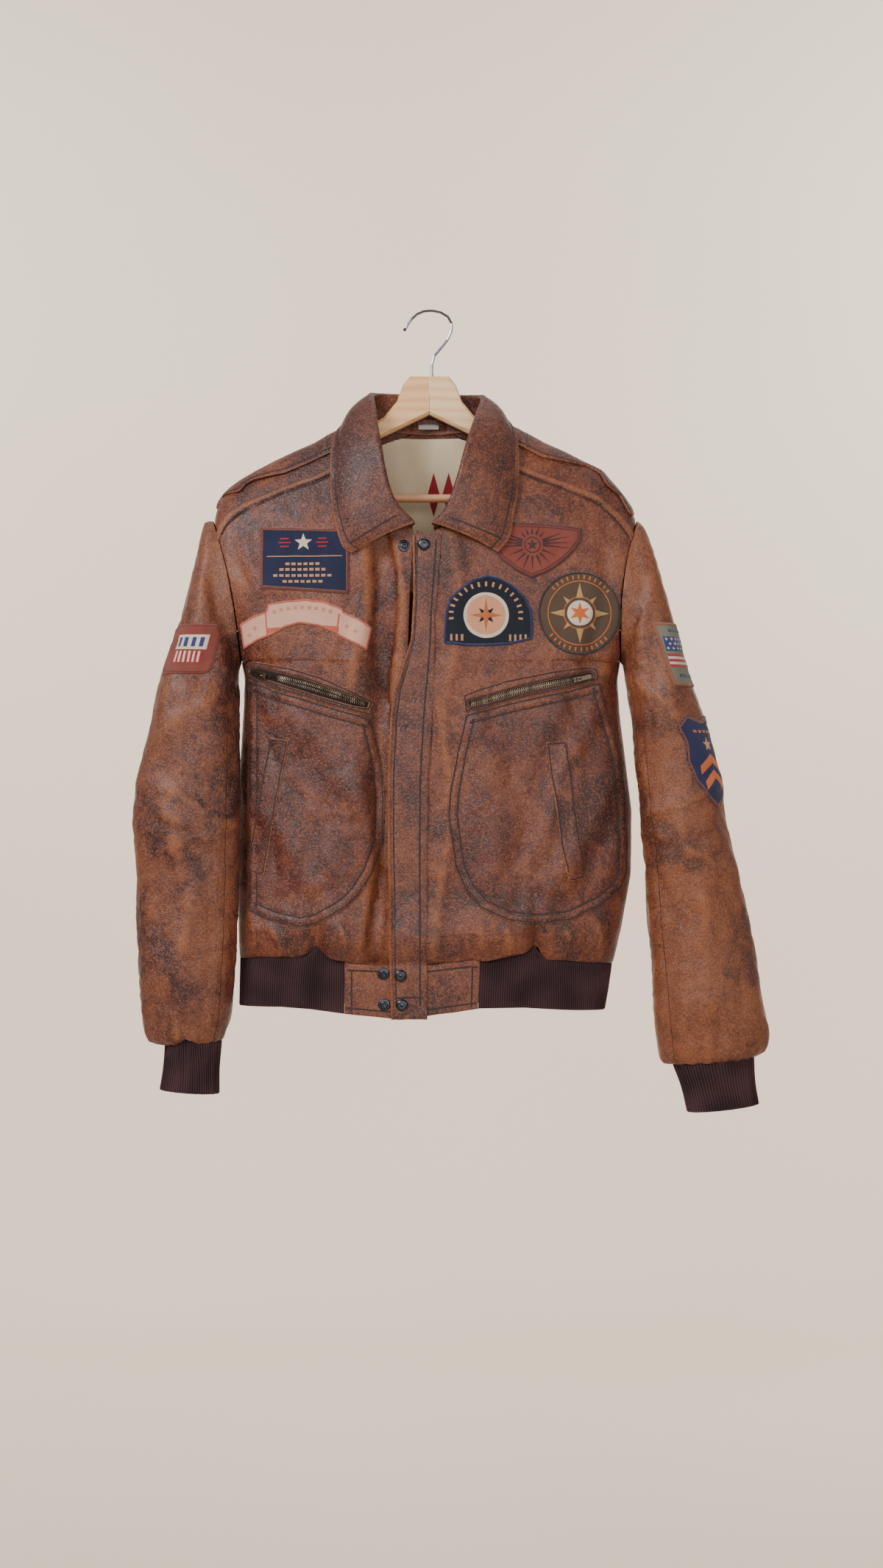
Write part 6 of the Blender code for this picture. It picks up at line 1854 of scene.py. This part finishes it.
def patches(view, sleeve_views, looks):
    """The sewn-on patches, with plain bars, rings, rays and stars for their designs."""
    panel, wing = chest_patches(view, looks)
    square, stripes, shield = (sleeve_views[name] for name in ("square", "stripes", "shield"))
    square_line = softened(PATCH_SQUARE[2], 1.6)
    trim = patch("patch_sleeve_square", square_line, square, looks, "brick", "sleeve_top_right", 0.1)
    trim("square_field", alone([bar(2, 8, 40, 17)]), "cream", "label")
    trim("square_blocks", alone(bar(-12 + 9 * k, 8, 4.6, 11) for k in range(4)), "blue", "patch_navy", OVER)
    trim("square_stripes", alone(bar(-15 + 5.4 * k, -9, 2.7, 14) for k in range(7)), "red", "patch_brick")
    trim("square_gaps", alone(bar(-12.3 + 5.4 * k, -9, 2.5, 13) for k in range(6)), "cream", "label")

    outline = softened(PATCH_STRIPES[2], 2.4)
    trim = patch("patch_sleeve_stripes", outline, stripes, looks, "grey", "sleeve_top_left")
    trim("stripes_edge", [border(outline, 3.0)], "rust_edge", "patch_brick", (-0.2, 0.5), step=1.6)
    trim("stripes_field", alone([bar(-8, 12, 38, 17)]), "blue", "patch_navy")
    dots = [star(-24 + 6.4 * k + (3.2 if row % 2 else 0), 17.5 - 5.4 * row, 1.9, 0.9, 4, 0) for row in range(3)
            for k in range(6 - row % 2)]
    trim("stripes_dots", alone(dots), "cream", "label", OVER, step=1.5, edge=0.2)
    trim("stripes_red", alone(bar(0, -1.2 - 6.2 * k, 54, 3.0) for k in range(3)), "red", "patch_brick")
    trim("stripes_white", alone(bar(0, -4.3 - 6.2 * k, 54, 2.9) for k in range(2)), "cream", "label")
    rows = [bar(-16 + 7 * k, 27.5, 4.4, 3.4) for k in range(5)] + [bar(-16 + 7 * k, -25, 4.4, 3.8) for k in range(6)]
    trim("stripes_bars", alone(rows), "blue", "patch_navy")

    outline = softened(PATCH_SHIELD[2], 2.4)
    trim = patch("patch_sleeve_shield", outline, shield, looks, "navy_light", "sleeve_top_left")
    trim("shield_edge", [border(outline, 4.2)], "brick_edge", "patch_brick", (-0.2, 0.4), relief=strip_relief,
         step=1.8)
    chevron = [(-20, -6), (0, 8), (20, -6), (20, -16), (0, -2), (-20, -16)]
    trim("shield_chevrons", alone([chevron, [(u * 0.8, v - 18) for u, v in chevron]]), "orange", "patch_brick")
    trim("shield_star", alone([star(0, 19, 8.5, 3.6)]), "peach", "patch_pink", step=1.6)
    trim("shield_bars", alone(bar(-16 + 8 * k, 34, 5, 3.0) for k in range(5)), "rust", "patch_brick")
    for name, line, place, inward, lift in (
            ("patch_chest_panel", panel, view, 1.5, 0.6), ("patch_sleeve_shield", outline, shield, 1.6, 0.45),
            ("patch_wing", wing, view, 2.4, 0.1), ("patch_sleeve_square", square_line, square, 2.2, 0.1)):
        sew_along("patches", on_top(name, place), inset(line, inward), lift=lift, pitch=2.8, length=2.1,
                  radius=0.3, grooved=False)


def zip_row(side, view, looks):
    """A strip of tape and two rows of teeth that mesh, in a pocket's slot."""
    slot = {"right": ZIP_SLOT_RIGHT, "left": ZIP_SLOT_LEFT}[side]
    sewn_on("zip_chain_" + side, view, [softened(slot, 1.2)], (0.3, 0.7), looks["tape"],
            "front_" + side, step=3.0, worn_edge=0)
    line = {"right": [(-186, -436), (-170, -440), (-137, -449), (-105, -459), (-76, -469)],
            "left": [(49, -469.5), (67, -464.5), (103, -454), (151, -443.5), (166, -440.5)]}[side]
    path = spaced(smooth_2d(line), 1.05, closed=False)
    points, outward = view.cast(path, gap=1.2)
    along = np.gradient(points, axis=0)
    along /= np.linalg.norm(along, axis=1, keepdims=True)
    across = np.cross(outward, along)
    part = {"right": 1.1, "left": 0.15}[side]
    vertices, faces = [], []
    for k, (place, way, out, over) in enumerate(zip(points, along, outward, across)):
        hand = 1 if k % 2 else -1
        gap = part * math.sin(min(k / max(len(points) - 1, 1), 1) * math.pi)
        middle = place + out * 1.45 + over * hand * (0.95 + gap)
        shape = [(-0.42, -2.0, -0.7), (0.42, -2.0, -0.7), (0.42, 1.1, -0.7), (-0.42, 1.1, -0.7),
                 (-0.36, -1.9, 0.55), (0.36, -1.9, 0.55), (0.5, 1.25, 0.65), (-0.5, 1.25, 0.65)]
        base = len(vertices)
        vertices += [middle + way * u - over * hand * v + out * w for u, v, w in shape]
        order = [(0, 3, 2, 1), (4, 5, 6, 7), (0, 1, 5, 4), (1, 2, 6, 5), (2, 3, 7, 6), (3, 0, 4, 7)]
        faces += [tuple(base + i for i in (f if hand < 0 else f[::-1])) for f in order]
    piece = mesh_object("zip_teeth_" + side, vertices, faces, looks["bronze"], sharp=30)
    recalculate(piece)


def smooth_2d(points, count=60):
    return smooth_line([(x, 0, z) for x, z in points], count)[:, [0, 2]]


def front_parts(side, view, leathers):
    """A front's pocket, its zip's frame and the welt on the pocket, each with its stitches."""
    pocket, frame, slot, welt = {
        "right": (POCKET_RIGHT, ZIP_FRAME_RIGHT, ZIP_SLOT_RIGHT, WELT_RIGHT),
        "left": (POCKET_LEFT, ZIP_FRAME_LEFT, ZIP_SLOT_LEFT, WELT_LEFT)}[side]
    outline, strip = softened(pocket, 2.2), softened(welt, 1.6)
    rim = [softened(frame, 1.6), softened(slot, 1.2)]
    pocket_name, frame_name, welt_name = (part + side for part in ("pocket_", "zip_frame_", "welt_"))
    sewn_on(pocket_name, view, [outline], BASE, leathers["pocket"], "front_" + side,
            relief=pocket_relief, worn_edge=0.9, step=3.0)
    for inward in POCKET_SEAMS:
        sew_along("body", on_top(pocket_name, view), inset(outline, inward), lift=0.05)
    sewn_on(frame_name, view, rim, BASE, leathers["frame"], "front_" + side, relief=strip_relief,
            step=2.0, worn_edge=1.3)
    for line in (inset(rim[0], 1.9), inset(rim[1], -1.9)):
        sew_along("body", on_top(frame_name, view), line, lift=0.05)
    sewn_on(welt_name, on_top(pocket_name, view), [strip], (-0.3, 1.4), leathers["welt"], pocket_name,
            relief=strip_relief, worn_edge=1.3, step=2.6)
    sew_along("body", on_top(welt_name, view), inset(strip, 2.1), lift=0.05)


def snap_fasteners(trees, looks):
    """Domed caps and ringed sockets, seated on what carries them."""
    steps = SNAP_STEPS
    turns = [2 * math.pi * k / steps for k in range(steps)]
    for name, (carrier, (x, z), profile) in SNAPS.items():
        place, normal, _, _ = trees[carrier].ray_cast(Vector((x, -300, z)), Vector((0, 1, 0)))
        seat = Vector(place + normal * SNAP_SEAT)
        turned = facing(seat, normal).to_3x3()
        vertices = [(0, 0, profile[0][1])] + [
            (r * SNAP_RADIUS * math.cos(a), r * SNAP_RADIUS * math.sin(a), h) for r, h in profile[1:] for a in turns]
        faces = [(0, 1 + k, 1 + (k + 1) % steps) for k in range(steps)]
        for row in range(len(profile) - 2):
            a = 1 + row * steps
            faces += [(a + k, a + steps + k, a + steps + (k + 1) % steps, a + (k + 1) % steps) for k in range(steps)]
        last = 1 + (len(profile) - 2) * steps
        faces.append(tuple(last + k for k in range(steps))[::-1])
        spot = np.array([list((turned @ Vector(v)) + seat) for v in vertices])
        piece = mesh_object("look_" + name, spot, faces, looks["gunmetal"], sharp=60)
        face_outwards(piece)
        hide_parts(name)


def neck_parts(back, looks):
    """The lining behind the neck, with its plain red lozenges."""
    inner = Sheet(back.points - back.outward * LEATHER, 0.0)
    view = View(tree_of(inner), origin=(0, -30, 0), reach=0.0)
    outline = softened([(-72, -330), (70, -330), (70, -158), (40, -148), (-42, -148), (-72, -158)], 1.0)

    def folds(away, flat):
        x, z = flat[:, 0], flat[:, 1]
        soft = np.clip(away / 8, 0, 1)
        return soft * (0.8 * np.exp(-((x + 42 - 0.08 * (z + 200)) / 5) ** 2) + 0.7 * np.exp(-((x - 12) / 7) ** 2)
                       + 0.6 * np.exp(-((x + 16 + 0.05 * (z + 200)) / 4) ** 2))

    sewn_on("lining", view, [outline], (0.3, 1.1), looks["lining"], "back", relief=folds, step=3.5,
            held="hung", worn_edge=0)
    mark = [(0, -240), (7.5, -213.5), (0, -187), (-7.5, -213.5)]
    lozenges = alone([(x + middle, z) for x, z in mark] for middle in (5, 23))
    motif("lining_marks", on_top("lining", view), lozenges, (-0.1, 0.25), looks["red"], "patch_brick")


def yoke_band(side, front, yoke, material):
    """The raised fold where the yoke's edge is turned over the front's."""
    outer_first = abs(front.points[0, 0, 0]) > abs(front.points[0, -1, 0])
    order = slice(None) if outer_first else slice(None, None, -1)
    edge = yoke.points[-1]
    up = unit(yoke.points[-4] - edge)
    down = unit(front.points[6] - front.points[0])
    top_line, top_out = (edge + up * 4.6)[order], yoke.outward[-3][order]
    low_line, low_out = (front.points[0] + down * 2.4)[order], front.outward[4][order]
    top_run, low_run = travelled(top_line), travelled(low_line)
    places = np.linspace(0, min(top_run[-1], low_run[-1]), 70)
    top, low = sampled(top_line, top_run, places), sampled(low_line, low_run, places)
    out = unit(sampled(top_out, top_run, places) + sampled(low_out, low_run, places))
    rows = []
    for t in (0, 0.08, 0.2, 0.35, 0.5, 0.65, 0.8, 0.92, 1):
        rows.append(mix(top, low, t) + out * (0.2 + 2.0 * math.sin(math.pi * t) ** 0.55))
    sheet = Sheet(np.array(rows), 0.0)
    shape = sheet.points.shape[:2]
    sheet.outward = np.broadcast_to(out, sheet.points.shape).copy()
    sheet.wear_and_painted_light = np.array([0.1, 0.3, 0.8, 1, 1, 0.8, 0.4, 0.1, 0])[:, None] * 0.8 + np.zeros(shape)
    thick = 0.15 + 1.6 * np.sin(np.pi * np.linspace(0, 1, len(rows))) ** 0.55
    inner = sheet.points - sheet.outward * thick[:, None, None]
    piece = mesh_object("yoke_band_" + side, np.concatenate([sheet.points.reshape(-1, 3), inner.reshape(-1, 3)]),
                        wall_faces(*shape, False), material,
                        np.concatenate([sheet.wear_and_painted_light.ravel(), np.zeros(sheet.wear_and_painted_light.size)]))
    recalculate(piece)
    declare(piece, *measured(sheet.points), "folded", ["front_" + side, "yoke_" + side])
    stitch("body", low[3:-2] + down.mean(axis=0) * 1.6 + out[3:-2] * 0.35, out[3:-2])


# Lamps, in metres and watts: name, place, what it points at, size, power, colour
LIGHTS = [
    ("key", (-1.7, -1.9, 1.0), (0, 0, -0.5), (1.0, 1.0), 64, (0.93, 0.95, 1.0)),
    ("fill", (2.2, -2.2, 0.0), (0, 0, -0.5), (1.8, 1.8), 12, (1.0, 0.96, 0.92)),
    ("front", (0.3, -3.3, -0.1), (0, 0, -0.4), (2.2, 1.6), 34, (1.0, 0.98, 0.96)),
    ("top", (0.2, 0.6, 2.0), (0, 0, -0.4), (2.0, 1.5), 13, (1.0, 0.97, 0.94)),
    ("wall_left", (-3.2, 2.8, 1.4), (-1.0, 6.0, 0.4), (2.5, 2.5), 235, (1.0, 0.96, 0.92)),
    ("wall_right", (3.2, 2.8, 1.6), (1.4, 6.0, 0.6), (2.5, 2.5), 280, (1.0, 0.96, 0.92))]


def stage():
    """A pale floor that turns up far behind into a plain wall, and soft studio light."""
    rows = [(-6.0, -2.4), (4.6, -2.4)]
    rows += [(4.6 + 1.4 * math.sin(a), -2.4 + 1.4 * (1 - math.cos(a))) for a in np.radians(np.arange(10, 91, 10))]
    rows += [(6.0, 5.0)]
    vertices = [(x, y, z) for y, z in rows for x in (-9.0, 9.0)]
    faces = [(2 * k, 2 * k + 1, 2 * k + 3, 2 * k + 2) for k in range(len(rows) - 1)]
    mesh = bpy.data.meshes.new("backdrop")
    mesh.from_pydata(vertices, [], faces)
    mesh.polygons.foreach_set("use_smooth", [True] * len(mesh.polygons))
    wall_piece = bpy.data.objects.new("backdrop", mesh)
    bpy.context.scene.collection.objects.link(wall_piece)
    paint = Finish("backdrop", roughness=0.95, specular=0.1)
    paint.colour(paint.ramp(paint.noise(0.35, 2), (0.3, srgb(224, 208, 192)), (0.7, srgb(230, 215, 200))))
    mesh.materials.append(paint.material)

    for name, place, target, size, power, colour in LIGHTS:
        lamp = bpy.data.lights.new(name, "AREA")
        lamp.shape = "RECTANGLE"
        lamp.size, lamp.size_y = size
        lamp.energy = power
        lamp.color = colour
        holder = bpy.data.objects.new(name, lamp)
        holder.location = place
        holder.rotation_euler = (Vector(target) - Vector(place)).to_track_quat("-Z", "Y").to_euler()
        bpy.context.scene.collection.objects.link(holder)
    world = bpy.data.worlds.new("room")
    bpy.context.scene.world = world
    world.use_nodes = True
    back = world.node_tree.nodes["Background"]
    back.inputs["Color"].default_value = (*srgb(222, 219, 214), 1)
    back.inputs["Strength"].default_value = 0.5


def camera():
    data = bpy.data.cameras.new("photo")
    data.lens = 51.1
    data.sensor_width = 36
    data.clip_end = 60
    holder = bpy.data.objects.new("photo", data)
    holder.location = (0.0144, -2.65, -0.5618)
    holder.rotation_euler = (math.pi / 2, 0, 0)
    bpy.context.scene.collection.objects.link(holder)
    bpy.context.scene.camera = holder


def dress(nodes, name, material):
    """Give a CAD node that stays a material of its own."""
    nodes[name].data.materials.clear()
    nodes[name].data.materials.append(material)


LEATHERS = {
    "front": {},
    "pocket": {"brown": (94, 43, 34), "wear": -0.02},
    "frame": {"wear": 0.04},
    "welt": {"brown": (98, 47, 38), "wear": 0.06},
    "back": {},
    "yoke": {"wear": -0.04},
    "strap": {},
    "band": {"wear": 0.12},
    "sleeve_left": {"brown": (126, 68, 40), "dark": (88, 45, 33), "wear": 0.03},
    "collar": {"brown": (90, 40, 29), "wear": -0.05},
    "sleeve_right": {"brown": (112, 60, 42), "wear": -0.02},
    "flap": {"brown": (96, 47, 36), "dark": (58, 27, 29), "wear": -0.03, "gloss": 0.03},
    "tab": {"brown": (108, 54, 38)}}
# Woven cloths: colour, threads a metre, how far the colour strays, whether it is twill
WOVENS = {
    "lining": ((240, 218, 182), 800, 12),
    "label": ((226, 224, 216), 1200, 6),
    "tape": ((40, 27, 25), 1200, 6),
    "navy": ((36, 40, 66), 1100, 8, True),
    "midnight": ((30, 33, 44), 1100, 8, True),
    "navy_light": ((43, 48, 84), 1100, 9, True),
    "pink": ((224, 170, 146), 1100, 10, True),
    "brick": ((132, 66, 56), 1100, 12, True),
    "brown": ((88, 70, 56), 1100, 8, True),
    "grey": ((118, 118, 100), 1100, 10, True)}
# Embroidery: colour, and how far it strays where that isn't the usual
EMBROIDERIES = {
    "tan": ((196, 142, 104),), "cream": ((226, 208, 184), 14), "red": ((168, 30, 44),), "blue": ((48, 56, 110),),
    "scroll_edge": ((196, 92, 70),), "plum": ((66, 36, 42), 10), "navy_edge": ((34, 38, 84),),
    "peach": ((222, 156, 118),), "rust": ((190, 104, 56),), "umber": ((52, 36, 38), 10),
    "gold": ((190, 146, 92),), "orange": ((214, 104, 44),), "brick_edge": ((130, 72, 56),),
    "rust_edge": ((150, 82, 58),)}
METALS = {
    "bronze": ((104, 92, 80), 0.36, 0.12, (150, 134, 112)),
    "gunmetal": ((56, 57, 64), 0.28, 0.05, (88, 90, 98)),
    "chrome": ((118, 119, 124), 0.2, 0.06)}
# Thread colour, and the dark colour painted along stitch lines as the shade of their channels.
THREAD_COLOURS = {"thread": ((46, 26, 38),), "groove": ((64, 36, 34),)}
WOODS = {
    "wood_right": ((255, 200, 142), (236, 168, 108), 28),
    "wood_left": ((255, 216, 164), (242, 186, 128), -28),
    "wood_bar": ((244, 184, 140), (212, 140, 96))}


def main():
    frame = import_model()
    nodes = frame["nodes"]
    camera()
    stage()
    leathers = {name: leather("leather_" + name, **settings) for name, settings in LEATHERS.items()}
    looks = {"knit": knit()}
    for make, table in ((woven, WOVENS), (embroidery, EMBROIDERIES), (metal, METALS), (thread, THREAD_COLOURS),
                        (wood, WOODS)):
        looks.update({name: make(name, *settings) for name, settings in table.items()})
    fronts = {side: front_look(side) for side in SIDES}
    for side, sheet in fronts.items():
        clothe("front_" + side, sheet, leathers["front"], rests_on=["yoke_" + side])
        yoke = yoke_look(side)
        clothe("yoke_" + side, yoke, leathers["yoke"], rests_on=["hanger_board_" + side])
        stitch("body", yoke.points[4, 2:-2], yoke.outward[4, 2:-2])
        yoke_band(side, sheet, yoke, leathers["band"])
        strap = epaulette_look(side)
        low, high = EPAULETTE_LIFT
        clothe("epaulette_" + side, strap, leathers["strap"], lift=high, thickness=high - low,
               rests_on=["yoke_" + side], worn_edges=1.1)
        raised = strap.points + strap.outward * high
        stitch("body", raised[4, 2:-4], strap.outward[4, 2:-4])
        stitch("body", raised[-5, 2:-4], strap.outward[-5, 2:-4])
        near = [10, 9, 8, 7, 6, 5, 4] if side == "left" else [-11, -10, -9, -8, -7, -6, -5]
        stitch("body", raised[5:-5, near[0]], strap.outward[5:-5, near[0]])
        steps = np.linspace(-6, 5 - strap.points.shape[0] + 1, len(near)).round().astype(int)
        stitch("body", raised[steps, near], strap.outward[steps, near])
    back = back_look()
    clothe("back", back, leathers["back"], rests_on=["yoke_right", "yoke_left"])
    stitch("body", back.points[6, 2:-2], back.outward[6, 2:-2])
    collar_look(leathers["collar"])
    flap = flap_look(leathers["flap"])
    waist_look(looks["knit"])
    tabs = {side: tab_look(side, {"right": TAB_RIGHT_X, "left": TAB_LEFT_X}[side], leathers["tab"])
            for side in SIDES}
    sleeves = {}
    for side in SIDES:
        sleeves[side] = sleeve_pieces(side, leathers)
        cuff_look(side, sleeves[side].points[-1], looks["knit"])
    view = View(tree_of(fronts["right"], fronts["left"]))
    for side in SIDES:
        front_parts(side, view, leathers)
        zip_row(side, view, looks)
        dress(nodes, "zip_slider_" + side, looks["bronze"])
        dress(nodes, "zip_pull_" + side, looks["bronze"])
    sleeve_views = {
        name: Wrap(sleeves[side], (way[0], way[1], 0), middle)
        for name, side, (middle, way, _) in (("square", "right", PATCH_SQUARE), ("stripes", "left", PATCH_STRIPES),
                                             ("shield", "left", PATCH_SHIELD))}
    patches(view, sleeve_views, looks)
    snap_fasteners({"front_right": tree_of(fronts["right"]), "front_flap": tree_of(flap),
                    "waist_tab_right": tree_of(tabs["right"])}, looks)
    neck_parts(back, looks)
    for group in THREADS:
        sew(group, looks["thread"])
    # Dark strips painted along the stitches as the shade of their channels.
    for group in GROOVE_SHADE_STRIPS:
        paint_groove_shades(group, looks["groove"])
    for name, material in (("label", looks["label"]), ("hanger_loop", leathers["collar"]),
                           ("hanger_board_right", looks["wood_right"]), ("hanger_board_left", looks["wood_left"]),
                           ("hanger_bar", looks["wood_bar"]), ("hook", looks["chrome"])):
        dress(nodes, name, material)


main()
